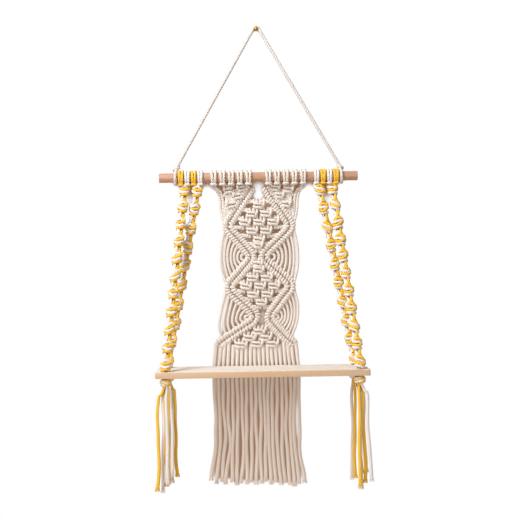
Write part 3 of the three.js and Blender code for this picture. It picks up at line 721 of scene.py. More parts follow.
class SHELF_OT_tassels(bpy.types.Operator):
    """Make the four tassels of four strands below the board's corners"""
    bl_idname = "rope_shelf.tassels"
    bl_label = "Make the tassels"

    def execute(self, context):
        for word, side in SIDES:
            for row, hole_y in (("front", FRONT_HOLE_Y), ("back", BACK_HOLE_Y)):
                for i, spread in enumerate(TASSEL_SPREADS[side, row]):
                    tassel_strand(f"{word}_{row}_tassel", side, hole_y, i, spread)
        return {"FINISHED"}


# Hanger

HANGER_WRAP_X = 167.5 * MM
HANGER_KNOT_X = 165.5 * MM
HANGER_KNOT_HEIGHT = 12 * MM
NAIL_SHANK = 1.2 * MM
NAIL_FRONT = -8.6 * MM
NAIL_TURN_STEPS = 8
# The tied end winds round the standing part: its steps, first angle and turn in degrees, and on the way its
# rise above the knot's middle falls and its reach shrinks
TIE_STEPS = 24
TIE_START = 240
TIE_TURN = 300
TIE_RISE = 8 * MM
TIE_FALL = 12 * MM
TIE_REACH = 4.3 * MM
TIE_DRAW = 2 * MM
# It goes on round the dowel: angles up from the front, and the slant in metres a degree
WRAP_ANGLES = (140, 175, 210, 245, 280, 315, 350, 385, 412)
WRAP_MIDDLE = 290
WRAP_SLANT = 0.006 * MM
# Where it reaches and leaves the wrap: angle, step outwards and what the reach adds
WRAP_IN = (112, -1 * MM, 2.2 * MM)
WRAP_OUT = (436, 0.3 * MM, 2 * MM)
LEG_END_SHARE = 0.97


class SHELF_OT_hanger(bpy.types.Operator):
    """Make the rope from the dowel's ends over the nail"""
    bl_idname = "rope_shelf.hanger"
    bl_label = "Make the hanger rope"

    def execute(self, context):
        sizes = context.scene.rope_shelf_sizes
        radius = sizes.hanger / 2
        reach = sizes.dowel_diameter / 2 + radius + FIT_GAP
        seat = Vector((0, NAIL_FRONT + radius + FIT_GAP, 0))
        turn_radius = NAIL_SHANK + radius + FIT_GAP
        knot = Vector((-HANGER_KNOT_X, DOWEL_Y, DOWEL_Z + reach + HANGER_KNOT_HEIGHT / 2))
        first = math.atan2(HANGER_KNOT_X, -knot.z)
        over = [seat + turn_radius * Vector((-math.cos(angle), 0, math.sin(angle)))
                for angle in (first + (math.pi - 2 * first) * k / NAIL_TURN_STEPS
                              for k in range(NAIL_TURN_STEPS + 1))]
        up = (over[0] - knot).normalized()
        across = Vector((up.z, 0, -up.x)).normalized()
        front = Vector((0, -1, 0))
        end = []
        for k in range(TIE_STEPS + 1):
            share = k / TIE_STEPS
            turn = math.radians(TIE_START + TIE_TURN * share)
            end.append(knot + up * (TIE_RISE - TIE_FALL * share)
                       + (across * math.cos(turn) + front * math.sin(turn)) * (TIE_REACH - TIE_DRAW * share))
        angle, aside, more = WRAP_IN
        end.append(round_dowel(-HANGER_WRAP_X + aside, angle, reach + more))
        for angle in WRAP_ANGLES:
            end.append(round_dowel(-HANGER_WRAP_X + (angle - WRAP_MIDDLE) * WRAP_SLANT, angle, reach))
        angle, aside, more = WRAP_OUT
        end.append(round_dowel(-HANGER_KNOT_X + aside, angle, reach + more))
        leg = [*end, knot + up * 0.5 * MM, knot + up * 9 * MM, knot.lerp(over[0], LEG_END_SHARE)]
        whole = smooth([*leg, *over, *reversed(mirrored(leg, 1))])
        # The rope's cotton carries painted shade
        mesh = wound("hanger_rope_cord", [(whole, radius, 0)], [cotton("rope")])
        as_piece("hanger_rope_cord", mesh, "hanger_rope", "hanger")
        return {"FINISHED"}


# Knotted panel, in the frame of the dowel's axis at the panel's middle

PANEL_ORIGIN = Vector((0, PANEL_Y, DOWEL_Z))
PANEL_HEAD_X = tuple((20 + 17.5 * i) * MM for i in range(5))
PANEL_HEAD_SPREAD = 4.3 * MM
RIDGE_PITCH = 12 * MM
RIDGE_TURN_RADIUS = 14 * MM
RIDGE_FOOT_X = 74 * MM
RIDGE_FOOT_DROP = 338 * MM
RIDGE_CORNER_SHARES = ((0.2, 0.063), (0.9, 0.296), (0.1, 0.478), (0.9, 0.653), (0.12, 0.84), (1, 1))
RIDGE_CORNERS = [(x * RIDGE_FOOT_X, drop * RIDGE_FOOT_DROP) for x, drop in RIDGE_CORNER_SHARES]
FIRST_TIP, FIRST_WAIST, SECOND_TIP, SECOND_WAIST = (drop for _, drop in RIDGE_CORNERS[1:5])
SIDE_CORD_SHARES = (1.035, 0.935, 0.845, 0.745, 0.65, 0.555, 0.455)
SIDE_CORD_BULGE = 8 * MM
BULGE_SHARE = 0.35
WAIST_SHIFTS = (-4 * MM, 7 * MM)
WAIST_SHIFT_REACH = 50 * MM
WAIST_SHIFT_HALF_WIDTH = 76 * MM
HITCH_PITCH = 5.9 * MM
HITCH_STEPS = 12
ZIGZAG_TURN_STEPS = 8
KNOT_THICKNESS = 12 * MM
KNOT_CORD_INSET = 2 * MM
SQUARE_KNOT_PLAY = 1.6 * MM
SQUARE_KNOT_LEAN = 0.14
SQUARE_KNOT_HEIGHT = 22 * MM
KNOT_PITCH_X = 28.5 * MM
DIAMOND_ROWS = 3
UPPER_KNOT_PITCH_Z = 17 * MM
UPPER_DIAMOND_RISE = 8 * MM
WAIST_KNOT_SHARE = 1.35
LOWER_KNOT_PITCH_Z = 16.4 * MM
CORNER_KNOT_WIDTH = 23 * MM
FOOT_ROWS = 3
FOOT_KNOT_PITCH_X = 31 * MM
FOOT_KNOT_PITCH_Z = 13 * MM
FOOT_HALF_WIDTH = 49.75 * MM
OUTER_RIDGE_FOOT_X = 78 * MM
CORNER_KNOT_SHARES = ((0.68, 0.26), (0.38, 0.23), (0.47, 0.38), (0.62, 0.555))
KNOT_OF_HEAD = (1, 1, 0, 0)
KNOT_PAIRS = ((0, 2), (0, 3), (2, 3))
RIDGE_END_SHARES = ((0, (0.75, 0.9)), (3, (0.66, 0.77)))
# A head's cords reach the sides of their knot, from above it and before it
HEAD_TO_KNOT_SHARE = 0.55
HEAD_CORD_HALF_PITCH = 2.6 * MM
HEAD_CORD_RISE = 8 * MM
HEAD_CORD_DEPTH = 2 * MM
HEAD_CORD_END_SHARE = 0.8
PAIR_HALF_PITCH = 2.5 * MM
# Pairs of cords between a diamond's edge and its ridges, as shares of the knots' pitches
EDGE_PAIR_SHARES = (-0.15, 0.15)
EDGE_PAIR_WIDTH_SHARE = 0.25
EDGE_PAIR_DROP_SHARE = 0.55
EDGE_PAIR_RISE = 8 * MM
FOOT_WAVE = 0.8 * MM
FOOT_STRAND_DEPTH = 1 * MM
FOOT_STRAND_SHARES = (0.4, 0.75)
EDGE_CORD_SHARES = (
    ((0.967, 0.19), (0.861, 0.28), (0.811, 0.42), (0.8, 0.62), (0.76, 0.9)),
    ((1.033, 0.19), (0.928, 0.28), (0.878, 0.42), (0.862, 0.62), (0.77, 1)),
)
# A square knot's two working cords, as shares of its pitch, height and depth, the front negative
FIRST_WORKER = (
    (-0.35, 0.62, 0.1), (-0.37, 0.36, -0.1), (-0.29, 0.22, -1), (-0.05, 0.18, -1.35), (0.17, 0.13, -1.2),
    (0.29, 0.02, -0.3), (0.25, -0.1, 0.7), (0.0, -0.2, 1), (-0.2, -0.28, 0.8), (-0.34, -0.42, 0.2),
    (-0.35, -0.62, 0.1),
)
SECOND_WORKER = (
    (0.35, 0.62, 0.1), (0.37, 0.4, -0.6), (0.36, 0.22, -1.7), (0.33, 0.02, -1.7), (0.27, -0.06, -0.2),
    (0.05, 0.02, 1), (-0.2, 0.04, 0.8), (-0.34, -0.02, -0.1), (-0.27, -0.13, -1.1), (-0.02, -0.17, -1.4),
    (0.19, -0.22, -1.1), (0.33, -0.38, -0.1), (0.35, -0.62, 0.1),
)
CORE_CORD = ((0.15, 0.62, 0.1), (0.11, 0.3, 0), (0.1, 0, 0), (0.11, -0.3, 0), (0.15, -0.62, 0.1))


def sway_at(x, drop):
    """How far the panel lies off its centre line at a half width and a drop below the dowel's axis."""
    across = min(1, abs(x) / WAIST_SHIFT_HALF_WIDTH)
    away = [min(1, abs(drop - waist) / WAIST_SHIFT_REACH) for waist in (FIRST_WAIST, SECOND_WAIST)]
    return (1 - across ** 2) * sum(
        shift * (1 - share ** 2) ** 2 for shift, share in zip(WAIST_SHIFTS, away))


def zigzag(offset):
    """The zigzag at a distance outwards from its middle: straight legs with round turns."""
    corners = [Vector((x, 0, -drop)) for x, drop in RIDGE_CORNERS]
    headings = [(b - a).normalized() for a, b in zip(corners, corners[1:])]
    points = [corners[0] + Vector((-headings[0].z, 0, headings[0].x)) * offset]
    for corner, into, out in zip(corners[1:-1], headings, headings[1:]):
        half = into.angle(out) / 2
        start = corner - into * RIDGE_TURN_RADIUS * math.tan(half)
        bow = math.copysign(1, into.z * out.x - into.x * out.z)
        centre = start - Vector((-into.z, 0, into.x)) * bow * RIDGE_TURN_RADIUS
        for k in range(ZIGZAG_TURN_STEPS + 1):
            turn = Matrix.Rotation(bow * 2 * half * k / ZIGZAG_TURN_STEPS, 3, "Y") @ (start - centre)
            points.append(centre + turn + turn.normalized() * bow * offset)
    points.append(corners[-1] + Vector((-headings[-1].z, 0, headings[-1].x)) * offset)
    return points


def width_at(points, drop):
    """The half width of a line at a drop below the dowel's axis."""
    i = next(k for k in range(1, len(points)) if -points[k].z >= drop)
    share = (drop + points[i - 1].z) / (points[i - 1].z - points[i].z)
    return points[i - 1].x + (points[i].x - points[i - 1].x) * share


def on_leg(points, x, from_drop, to_drop):
    """The point of a line's leg at a half width, or as near as the leg comes."""
    a, b = (Vector((width_at(points, drop), 0, -drop)) for drop in (from_drop, to_drop))
    return a.lerp(b, min(1, max(0, (x - a.x) / (b.x - a.x))))


def in_panel(points, side):
    """Points of the panel's right half in their place, mirrored for the left side."""
    return [PANEL_ORIGIN + Vector((
        side * p.x + sway_at(p.x, -p.z) + foot_shift(side * p.x, -p.z), p.y, p.z)) for p in points]


def in_place(lines):
    """Lines of the panel's own frame in their place."""
    return [in_panel(line, 1) for line in lines]


def hitched(line, reach):
    """A cord that winds closely round a line, as a row of half hitches does."""
    path = even(line, HITCH_PITCH / HITCH_STEPS)
    points = []
    for k, place in enumerate(path):
        ahead = (path[min(k + 1, len(path) - 1)] - path[max(k - 1, 0)]).normalized()
        side = Vector((-ahead.z, 0, ahead.x))
        turn = 2 * math.pi * k / HITCH_STEPS
        points.append(place + side * reach * math.cos(turn) - Vector((0, reach * math.sin(turn), 0)))
    return points


def square_knot(x, drop, pitch=KNOT_PITCH_X):
    """The two working cords and two core cords of a square knot, pulled up by hand."""
    deep = KNOT_THICKNESS / 2 - KNOT_CORD_INSET
    lift, lean = (noise.noise(Vector((x / MM * 0.17, drop / MM * 0.13, which))) for which in (0.4, 5.2))
    centre = Vector((x, 0, -drop + SQUARE_KNOT_PLAY * lift))
    slant = SQUARE_KNOT_LEAN * lean
    mirrored_core = tuple((-u, v, w) for u, v, w in CORE_CORD)
    return [smooth([centre + Vector((u * pitch, w * deep, (v + slant * u) * SQUARE_KNOT_HEIGHT))
                    for u, v, w in line], MM)
            for line in (FIRST_WORKER, SECOND_WORKER, CORE_CORD, mirrored_core)]


def strands_between(low, high):
    """The half widths of the fringe's strands in a span."""
    pitch = 2 * FRINGE_TOP_HALF_WIDTH / (FRINGE_STRANDS - 1)
    widths = [pitch * (i + 0.5) for i in range(FRINGE_STRANDS // 2)]
    return [x for x in widths if low < x <= high + WELD]


def foot_strand(x, from_drop):
    """A strand from where it leaves the knots down to the board's underside."""
    foot = Vector((x, 0, BOARD_BOTTOM - DOWEL_Z))
    leave = Vector((x * FRINGE_NARROW_SHARE, 0, -from_drop))
    wave = Vector((FOOT_WAVE * noise.noise(Vector((x * 300, 1, 0))), -FOOT_STRAND_DEPTH, 0))
    high, low = (leave.lerp(foot, share) for share in FOOT_STRAND_SHARES)
    return smooth([leave, high + wave, low - wave * 0.4, foot])


def panel_piece(node, lines, radius):
    """A panel piece of ivory cords, from lines in their place. Those that reach the board open a little."""
    loose = bpy.context.scene.rope_shelf_sizes.fringe_cord / 2
    cords = [(line, opened(line, radius, loose, -1) if line[-1].z < BOARD_TOP else radius, 0)
             for line in lines]
    mesh = wound(node + "_cords", cords, [cotton("ivory")])
    as_piece(node + "_cords", mesh, node, "hanger")


class SHELF_OT_ridges(bpy.types.Operator):
    """Make the hitched zigzag ridges with their side cords and the strands at their feet"""
    bl_idname = "rope_shelf.ridges"
    bl_label = "Make the ridges"

    def execute(self, context):
        sizes = context.scene.rope_shelf_sizes
        radius = sizes.cord / 2
        reach = sizes.ridge_width / 2 - radius
        outer_line = zigzag(RIDGE_PITCH / 2)
        inner_line = zigzag(-RIDGE_PITCH / 2)
        outer = [hitched(outer_line, reach), even(outer_line)]
        for tip, waist, lower in ((FIRST_TIP, FIRST_WAIST, SECOND_TIP),
                                  (SECOND_TIP, SECOND_WAIST, RIDGE_FOOT_DROP - RIDGE_PITCH)):
            for share in SIDE_CORD_SHARES:
                x = share * RIDGE_FOOT_X
                start = on_leg(outer_line, x - SIDE_CORD_BULGE, tip, waist)
                end = on_leg(outer_line, x - SIDE_CORD_BULGE, waist, lower)
                bulges = [Vector((x, 0, place.z * BULGE_SHARE - waist * (1 - BULGE_SHARE)))
                          for place in (start, end)]
                outer.append(smooth([start, *bulges, end]))
        for x in strands_between(OUTER_RIDGE_FOOT_X, FRINGE_TOP_HALF_WIDTH):
            outer.append(foot_strand(x, RIDGE_FOOT_DROP - sizes.ridge_width / 2))
        inner = [hitched(inner_line, reach), even(inner_line)]
        for x in strands_between(FOOT_HALF_WIDTH, OUTER_RIDGE_FOOT_X):
            leave = min(x * FRINGE_NARROW_SHARE, inner_line[-1].x)
            drop = -on_leg(inner_line, leave, SECOND_WAIST, -inner_line[-1].z).z
            inner.append(foot_strand(x, drop))
        for word, side in SIDES:
            panel_piece(f"panel_{word}_outer_ridge", [in_panel(line, side) for line in outer], radius)
            panel_piece(f"panel_{word}_inner_ridge", [in_panel(line, side) for line in inner], radius)
        return {"FINISHED"}


class SHELF_OT_diamonds(bpy.types.Operator):
    """Make the two diamonds of square knots and the field of square knots at the foot"""
    bl_idname = "rope_shelf.diamonds"
    bl_label = "Make the square knots"

    def execute(self, context):
        radius = context.scene.rope_shelf_sizes.cord / 2
        edge = zigzag(-RIDGE_PITCH / 2)
        for node, middle, pitch_z, waist_way in (
            ("panel_upper_diamond", FIRST_TIP - UPPER_DIAMOND_RISE, UPPER_KNOT_PITCH_Z, 1),
            ("panel_lower_diamond", SECOND_TIP, LOWER_KNOT_PITCH_Z, -1),
        ):
            waist_knot = middle + waist_way * WAIST_KNOT_SHARE * (DIAMOND_ROWS - 1) * pitch_z
            lines = in_place(square_knot(0, waist_knot, CORNER_KNOT_WIDTH))
            for row in range(1 - DIAMOND_ROWS, DIAMOND_ROWS):
                count = DIAMOND_ROWS - abs(row)
                drop = middle + row * pitch_z
                half = (count - 1) / 2 * KNOT_PITCH_X
                for i in range(count):
                    lines += in_place(square_knot(i * KNOT_PITCH_X - half, drop))
                # Pairs of cords from the diamond's edge into the ridges
                for turn in (-1, 1) if row == 0 else (math.copysign(1, row),):
                    for side in (-1, 1):
                        for shift in EDGE_PAIR_SHARES:
                            into = drop + turn * pitch_z * (EDGE_PAIR_DROP_SHARE + shift)
                            wide = half + (EDGE_PAIR_WIDTH_SHARE - shift) * KNOT_PITCH_X
                            lines.append(in_panel(smooth([
                                Vector((wide, 0, -drop - turn * EDGE_PAIR_RISE)),
                                Vector((width_at(edge, into), 0, -into)),
                            ]), side))
            panel_piece(node, lines, radius)
        lines = []
        for row in range(FOOT_ROWS):
            drop = RIDGE_FOOT_DROP - (FOOT_ROWS - 1 - row) * FOOT_KNOT_PITCH_Z
            for i in range(row + 1):
                lines += in_place(square_knot((i - row / 2) * FOOT_KNOT_PITCH_X, drop, FOOT_KNOT_PITCH_X))
        for x in strands_between(0, FOOT_HALF_WIDTH):
            lines += in_place([foot_strand(x, RIDGE_FOOT_DROP), foot_strand(-x, RIDGE_FOOT_DROP)])
        panel_piece("panel_foot", lines, radius)
        return {"FINISHED"}


class SHELF_OT_panel_heads(bpy.types.Operator):
    """Make the panel's lark's heads, the corner knots below them and the cords down its edges"""
    bl_idname = "rope_shelf.panel_heads"
    bl_label = "Make the panel's heads"

    def execute(self, context):
        radius = context.scene.rope_shelf_sizes.cord / 2
        outer_x = PANEL_HEAD_X[-1]
        knots = [Vector((x * outer_x, 0, -drop * FIRST_TIP)) for x, drop in CORNER_KNOT_SHARES]
        for word, side in SIDES:
            lines = []
            for knot in knots:
                lines += [in_panel(line, side) for line in square_knot(knot.x, -knot.z, CORNER_KNOT_WIDTH)]
            for i, x in enumerate(PANEL_HEAD_X):
                runs = []
                for half in (-1, 1):
                    if i < len(KNOT_OF_HEAD):
                        knot = knots[KNOT_OF_HEAD[i]]
                        reach = (x - knot.x) * HEAD_TO_KNOT_SHARE + half * side * HEAD_CORD_HALF_PITCH
                        target = [Vector((knot.x + reach, -HEAD_CORD_DEPTH, knot.z + HEAD_CORD_RISE)),
                                  Vector((knot.x + reach * HEAD_CORD_END_SHARE, 0, knot.z))]
                    else:
                        shares = EDGE_CORD_SHARES[(half * side + 1) // 2]
                        target = [Vector((u * outer_x, 0, -drop * FIRST_TIP)) for u, drop in shares]
                    runs.append(in_panel(target, side))
                lines.append(head_cord(side * x, PANEL_HEAD_SPREAD, *runs))
            links = [(knots[a], knots[b]) for a, b in KNOT_PAIRS]
            links += [(knots[a], Vector((u * outer_x, 0, -drop * FIRST_TIP)))
                      for a, (u, drop) in RIDGE_END_SHARES]
            for a, b in links:
                aside = Vector((a.z - b.z, 0, b.x - a.x)).normalized() * PAIR_HALF_PITCH
                for shift in (-1, 1):
                    lines.append(in_panel(smooth([a + aside * shift, b + aside * shift]), side))
            panel_piece(f"panel_{word}_heads", lines, radius)
        return {"FINISHED"}


# Wood and nail

DOWEL_EDGE = 1.1 * MM
DOWEL_SIDES = 64
BOARD_CORNER_RADIUS = 3 * MM
BOARD_EDGE = 0.8 * MM
HOLE_SIDES = 40
# Edges sharper than this many degrees stay sharp
DOWEL_SHARP = 40
BOARD_SHARP = 25
BOARD_EASED = 50
NAIL_SHARP = 50
NAIL_SIDES = 32
# Beech shows rays of about 1.5 mm and growth bands of about 4 mm, pine bands of 7 mm and lines of 1 mm
BEECH_BANDS = 4 * MM
BEECH_RAYS = 1.5 * MM
PINE_BANDS = 7 * MM
PINE_LINES = 1 * MM
# The head's outline: shares of its radius, and heights before its rim
NAIL_DOME = ((0, 3 * MM), (0.3, 2.86 * MM), (0.6, 2.3 * MM), (0.84, 1.4 * MM), (0.96, 0.6 * MM), (1, 0),
             (0.9, -0.15 * MM))
NAIL_TIP_START = 13 * MM
NAIL_TIP_END = 16 * MM


def upright(edges, wanted):
    """The edges that run along Z, or the others."""
    return [edge for edge in edges if (abs(edge.verts[0].co.z - edge.verts[1].co.z) > MM) == wanted]


def finished_piece(mesh, sharp, finish, node, body):
    """A smooth mesh with sharp edges above an angle, as a piece in its material."""
    mesh.shade_smooth()
    mesh.set_sharp_from_angle(angle=math.radians(sharp))
    mesh.materials.clear()
    mesh.materials.append(finish)
    as_piece(mesh.name, mesh, node, body)


class SHELF_OT_dowel(bpy.types.Operator):
    """Make the dowel"""
    bl_idname = "rope_shelf.dowel"
    bl_label = "Make the dowel"

    def execute(self, context):
        sizes = context.scene.rope_shelf_sizes
        edit = bmesh.new()
        bmesh.ops.create_cone(edit, cap_ends=True, segments=DOWEL_SIDES, radius1=sizes.dowel_diameter / 2,
                              radius2=sizes.dowel_diameter / 2, depth=sizes.dowel_length)
        bmesh.ops.bevel(edit, geom=upright(edit.edges, False), offset=DOWEL_EDGE, affect="EDGES",
                        segments=3, profile=0.5, material=-1)
        bmesh.ops.rotate(edit, verts=edit.verts, cent=(0, 0, 0), matrix=Matrix.Rotation(QUARTER_TURN, 3, "Y"))
        bmesh.ops.translate(edit, verts=edit.verts, vec=(0, DOWEL_Y, DOWEL_Z))
        colours = context.scene.rope_shelf_colours
        finish = wood("sanded_beech", colours.beech, colours.beech_grain, WHITE, BEECH_BANDS, BEECH_RAYS)
        finished_piece(mesh_of(edit, "beech_dowel"), DOWEL_SHARP, finish, "dowel", "hanger")
        return {"FINISHED"}


class SHELF_OT_board(bpy.types.Operator):
    """Make the board with its four holes"""
    bl_idname = "rope_shelf.board"
    bl_label = "Make the board"

    def execute(self, context):
        sizes = context.scene.rope_shelf_sizes
        middle_z = (BOARD_TOP + BOARD_BOTTOM) / 2
        edit = bmesh.new()
        bmesh.ops.create_cube(edit, size=1)
        bmesh.ops.scale(edit, verts=edit.verts,
                        vec=(sizes.board_length, sizes.board_depth, sizes.board_thickness))
        bmesh.ops.bevel(edit, geom=upright(edit.edges, True), offset=BOARD_CORNER_RADIUS, affect="EDGES",
                        segments=5, profile=0.5, material=-1)
        bmesh.ops.translate(edit, verts=edit.verts, vec=(0, BOARD_BACK - sizes.board_depth / 2, middle_z))
        maker = linked("board_blank", mesh_of(edit, "board_blank"))
        edit = bmesh.new()
        for x in (-HOLE_X, HOLE_X):
            for y in (FRONT_HOLE_Y, BACK_HOLE_Y):
                bmesh.ops.create_cone(
                    edit, cap_ends=True, segments=HOLE_SIDES, radius1=sizes.hole_diameter / 2,
                    radius2=sizes.hole_diameter / 2, depth=2 * sizes.board_thickness,
                    matrix=Matrix.Translation((x, y, middle_z)))
        bits = linked("drills", mesh_of(edit, "drills"))
        cut = maker.modifiers.new("holes", "BOOLEAN")
        cut.operation = "DIFFERENCE"
        cut.solver = "EXACT"
        cut.object = bits
        soft = maker.modifiers.new("edges", "BEVEL")
        soft.width = BOARD_EDGE
        soft.segments = 3
        soft.limit_method = "ANGLE"
        soft.angle_limit = math.radians(BOARD_EASED)
        context.view_layer.update()
        finished = bpy.data.meshes.new_from_object(maker.evaluated_get(context.evaluated_depsgraph_get()))
        finished.name = "pine_shelf_board"
        bpy.data.objects.remove(maker)
        bpy.data.objects.remove(bits)
        colours = context.scene.rope_shelf_colours
        finish = wood("sanded_pine", colours.pine, colours.pine_grain, colours.pine_edge_and_shade,
                      PINE_BANDS, PINE_LINES)
        finished_piece(finished, BOARD_SHARP, finish, "shelf_board", "shelf")
        return {"FINISHED"}


class SHELF_OT_nail(bpy.types.Operator):
    """Make the round-headed nail in the wall"""
    bl_idname = "rope_shelf.nail"
    bl_label = "Make the nail"

    def execute(self, context):
        head = context.scene.rope_shelf_sizes.nail_head / 2
        profile = [(head * share, NAIL_FRONT - height) for share, height in NAIL_DOME]
        profile += [(NAIL_SHANK, profile[-1][1]), (NAIL_SHANK, NAIL_TIP_START), (0, NAIL_TIP_END)]
        edit = bmesh.new()
        verts = [edit.verts.new((radius, y, 0)) for radius, y in profile]
        edges = [edit.edges.new(pair) for pair in zip(verts, verts[1:])]
        bmesh.ops.spin(edit, geom=verts + edges, cent=(0, 0, 0), axis=(0, 1, 0), angle=2 * math.pi,
                       steps=NAIL_SIDES, use_merge=True)
        bmesh.ops.remove_doubles(edit, verts=edit.verts, dist=WELD)
        bmesh.ops.recalc_face_normals(edit, faces=edit.faces)
        colours = context.scene.rope_shelf_colours
        finish = brass(colours.brass, colours.brass_dull)
        finished_piece(mesh_of(edit, "brass_nail"), NAIL_SHARP, finish, "wall_nail", "nail")
        return {"FINISHED"}


# Stage

CAMERA_PLACE = Vector((-0.0535, -2.2476, -0.4929))
CAMERA_YAW = math.radians(-1.03)
CAMERA_PITCH = math.radians(0.63)
CAMERA_ROLL = math.radians(-0.88)
CAMERA_LENS = 76.79
CAMERA_SENSOR = 36
LIGHT_TARGET = Vector((0, -0.05, -0.5))
# Soft lights: name, place, size, power and colour
LIGHTS = (
    ("key", Vector((-1.0, -1.3, 1.5)), 0.9, 49, (0.87, 0.95, 1.0)),
    ("fill", Vector((-1.4, -2.0, 0.4)), 1.2, 24, (1.0, 0.95, 0.91)),
)
AMBIENT = (1.0, 0.82, 0.67, 1)
AMBIENT_STRENGTH = 0.37
FLOOR_GLOW = 0.6
# The wall is shaded where cords come nearer than this, where these shares of its surroundings are open
WALL_SHADE_REACH = 32 * MM
WALL_SHADE_SHARES = (0.34, 0.47)
WALL_HALF_WIDTH = 4
WALL_HEIGHT = 2.7
FLOOR_HALF_WIDTH = 6
FLOOR_HEIGHT = -1.3


def surround():
    """Warm ambient light, which shows as plain white."""
    world = bpy.data.worlds.new("soft_surround")
    world.use_nodes = True
    tree = world.node_tree
    tree.nodes.clear()
    path = add_node(tree, "LightPath")
    seen = add_node(tree, "Math", [path.outputs["Is Camera Ray"], path.outputs["Is Glossy Ray"]],
                    operation="MAXIMUM")
    shown = add_node(tree, "Math", [seen, path.outputs["Is Transmission Ray"]], operation="MAXIMUM")
    white = add_node(tree, "Background", {"Color": WHITE, "Strength": 1.0})
    ambient = add_node(tree, "Background", {"Color": AMBIENT, "Strength": AMBIENT_STRENGTH})
    both = add_node(tree, "MixShader", [shown, ambient, white])
    add_node(tree, "OutputWorld", {"Surface": both})
    return world


def painted_plaster():
    """Plaster of which the camera sees the front alone: white where it is open, and a tan tone that paints
    shade close behind cords.
    """
    material, tree = blank_material("painted_plaster")
    path = add_node(tree, "LightPath")
    face = add_node(tree, "NewGeometry")
    front = add_node(tree, "Math", [path.outputs["Is Camera Ray"], face.outputs["Backfacing"]],
                     operation="SUBTRACT", use_clamp=True)
    close = add_node(tree, "AmbientOcclusion", {"Distance": WALL_SHADE_REACH}, samples=48)
    open_share = add_node(tree, "MapRange", [close.outputs["AO"], *WALL_SHADE_SHARES],
                          interpolation_type="SMOOTHSTEP")
    clear = add_node(tree, "BsdfTransparent")
    lit = add_node(tree, "Emission", {"Color": WHITE, "Strength": 1.0})
    # The plaster's tan is painted shade, shown only where cords come close
    gap_shade_plaster = add_node(tree, "BsdfDiffuse", {"Color": bpy.context.scene.rope_shelf_colours.wall})
    wall_look = add_node(tree, "MixShader", [open_share, gap_shade_plaster, lit])
    shell = add_node(tree, "MixShader", [front, clear, wall_look])
    add_node(tree, "OutputMaterial", {"Surface": shell})
    return material


def pale_floor():
    """A pale floor, almost white to the camera, that takes the soft shadow."""
    material, tree = blank_material("pale_floor")
    path = add_node(tree, "LightPath")
    shade = add_node(tree, "BsdfDiffuse", {"Color": bpy.context.scene.rope_shelf_colours.floor})
    bright = add_node(tree, "Emission", {"Color": WHITE, "Strength": FLOOR_GLOW})
    over = add_node(tree, "AddShader", [shade, bright])
    look = add_node(tree, "MixShader", [path.outputs["Is Camera Ray"], shade, over])
    add_node(tree, "OutputMaterial", {"Surface": look})
    return material


def stage_plane(name, half_width, height, turn, finish):
    """A square plane of the stage, turned about X and raised."""
    edit = bmesh.new()
    bmesh.ops.create_grid(edit, x_segments=1, y_segments=1, size=half_width)
    bmesh.ops.rotate(edit, verts=edit.verts, cent=(0, 0, 0), matrix=Matrix.Rotation(turn, 3, "X"))
    bmesh.ops.translate(edit, verts=edit.verts, vec=(0, 0, height))
    mesh = mesh_of(edit, name)
    mesh.materials.append(finish)
    linked(name, mesh)


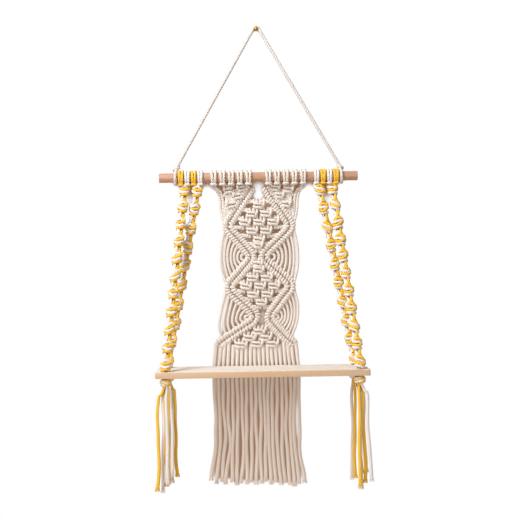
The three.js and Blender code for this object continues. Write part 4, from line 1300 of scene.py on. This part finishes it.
class SHELF_OT_stage(bpy.types.Operator):
    """Make the camera, wall, floor and soft lights"""
    bl_idname = "rope_shelf.stage"
    bl_label = "Make the stage"

    def execute(self, context):
        scene = context.scene
        scene.view_settings.view_transform = "Standard"
        camera = linked("camera", bpy.data.cameras.new("camera"))
        camera.data.lens = CAMERA_LENS
        camera.data.sensor_width = CAMERA_SENSOR
        camera.rotation_euler = (QUARTER_TURN + CAMERA_PITCH, 0, CAMERA_YAW)
        camera.location = CAMERA_PLACE
        level = camera.rotation_euler.to_matrix() @ Matrix.Rotation(CAMERA_ROLL, 3, "Z")
        camera.rotation_euler = level.to_euler()
        scene.camera = camera
        for name, place, size, power, colour in LIGHTS:
            lamp = bpy.data.lights.new(name, "AREA")
            lamp.size = size
            lamp.energy = power
            lamp.color = colour
            holder = linked(name, lamp)
            holder.location = place
            holder.rotation_euler = (LIGHT_TARGET - place).to_track_quat("-Z", "Y").to_euler()
        scene.world = surround()
        stage_plane("wall", WALL_HALF_WIDTH, WALL_HEIGHT, QUARTER_TURN, painted_plaster())
        stage_plane("floor", FLOOR_HALF_WIDTH, FLOOR_HEIGHT, 0, pale_floor())
        return {"FINISHED"}


class SHELF_PT_panel(bpy.types.Panel):
    bl_idname = "SHELF_PT_panel"
    bl_label = "Rope Shelf"
    bl_space_type = "VIEW_3D"
    bl_region_type = "UI"
    bl_category = "Rope Shelf"

    def draw(self, context):
        for group in (context.scene.rope_shelf_sizes, context.scene.rope_shelf_colours):
            for key in group.__annotations__:
                self.layout.prop(group, key)
        for operator in OPERATORS:
            self.layout.operator(operator.bl_idname)


OPERATORS = (
    SHELF_OT_stage, SHELF_OT_fringe, SHELF_OT_tassels, SHELF_OT_hanger, SHELF_OT_sennits,
    SHELF_OT_ridges, SHELF_OT_diamonds, SHELF_OT_panel_heads, SHELF_OT_dowel, SHELF_OT_board,
    SHELF_OT_nail,
)
CLASSES = (RopeShelfSizes, RopeShelfColours, *OPERATORS, SHELF_PT_panel)


def register():
    for kind in CLASSES:
        bpy.utils.register_class(kind)
    bpy.types.Scene.rope_shelf_sizes = bpy.props.PointerProperty(type=RopeShelfSizes)
    bpy.types.Scene.rope_shelf_colours = bpy.props.PointerProperty(type=RopeShelfColours)


def unregister():
    del bpy.types.Scene.rope_shelf_colours
    del bpy.types.Scene.rope_shelf_sizes
    for kind in reversed(CLASSES):
        bpy.utils.unregister_class(kind)


def main():
    register()
    bpy.ops.rope_shelf.stage()
    bpy.ops.rope_shelf.fringe()
    bpy.ops.rope_shelf.tassels()
    bpy.ops.rope_shelf.hanger()
    bpy.ops.rope_shelf.sennits()
    bpy.ops.rope_shelf.ridges()
    bpy.ops.rope_shelf.diamonds()
    bpy.ops.rope_shelf.panel_heads()
    bpy.ops.rope_shelf.dowel()
    bpy.ops.rope_shelf.board()
    bpy.ops.rope_shelf.nail()
    bpy.data.objects.remove(bpy.data.objects["lay_profile"])


if __name__ == "__main__":
    main()
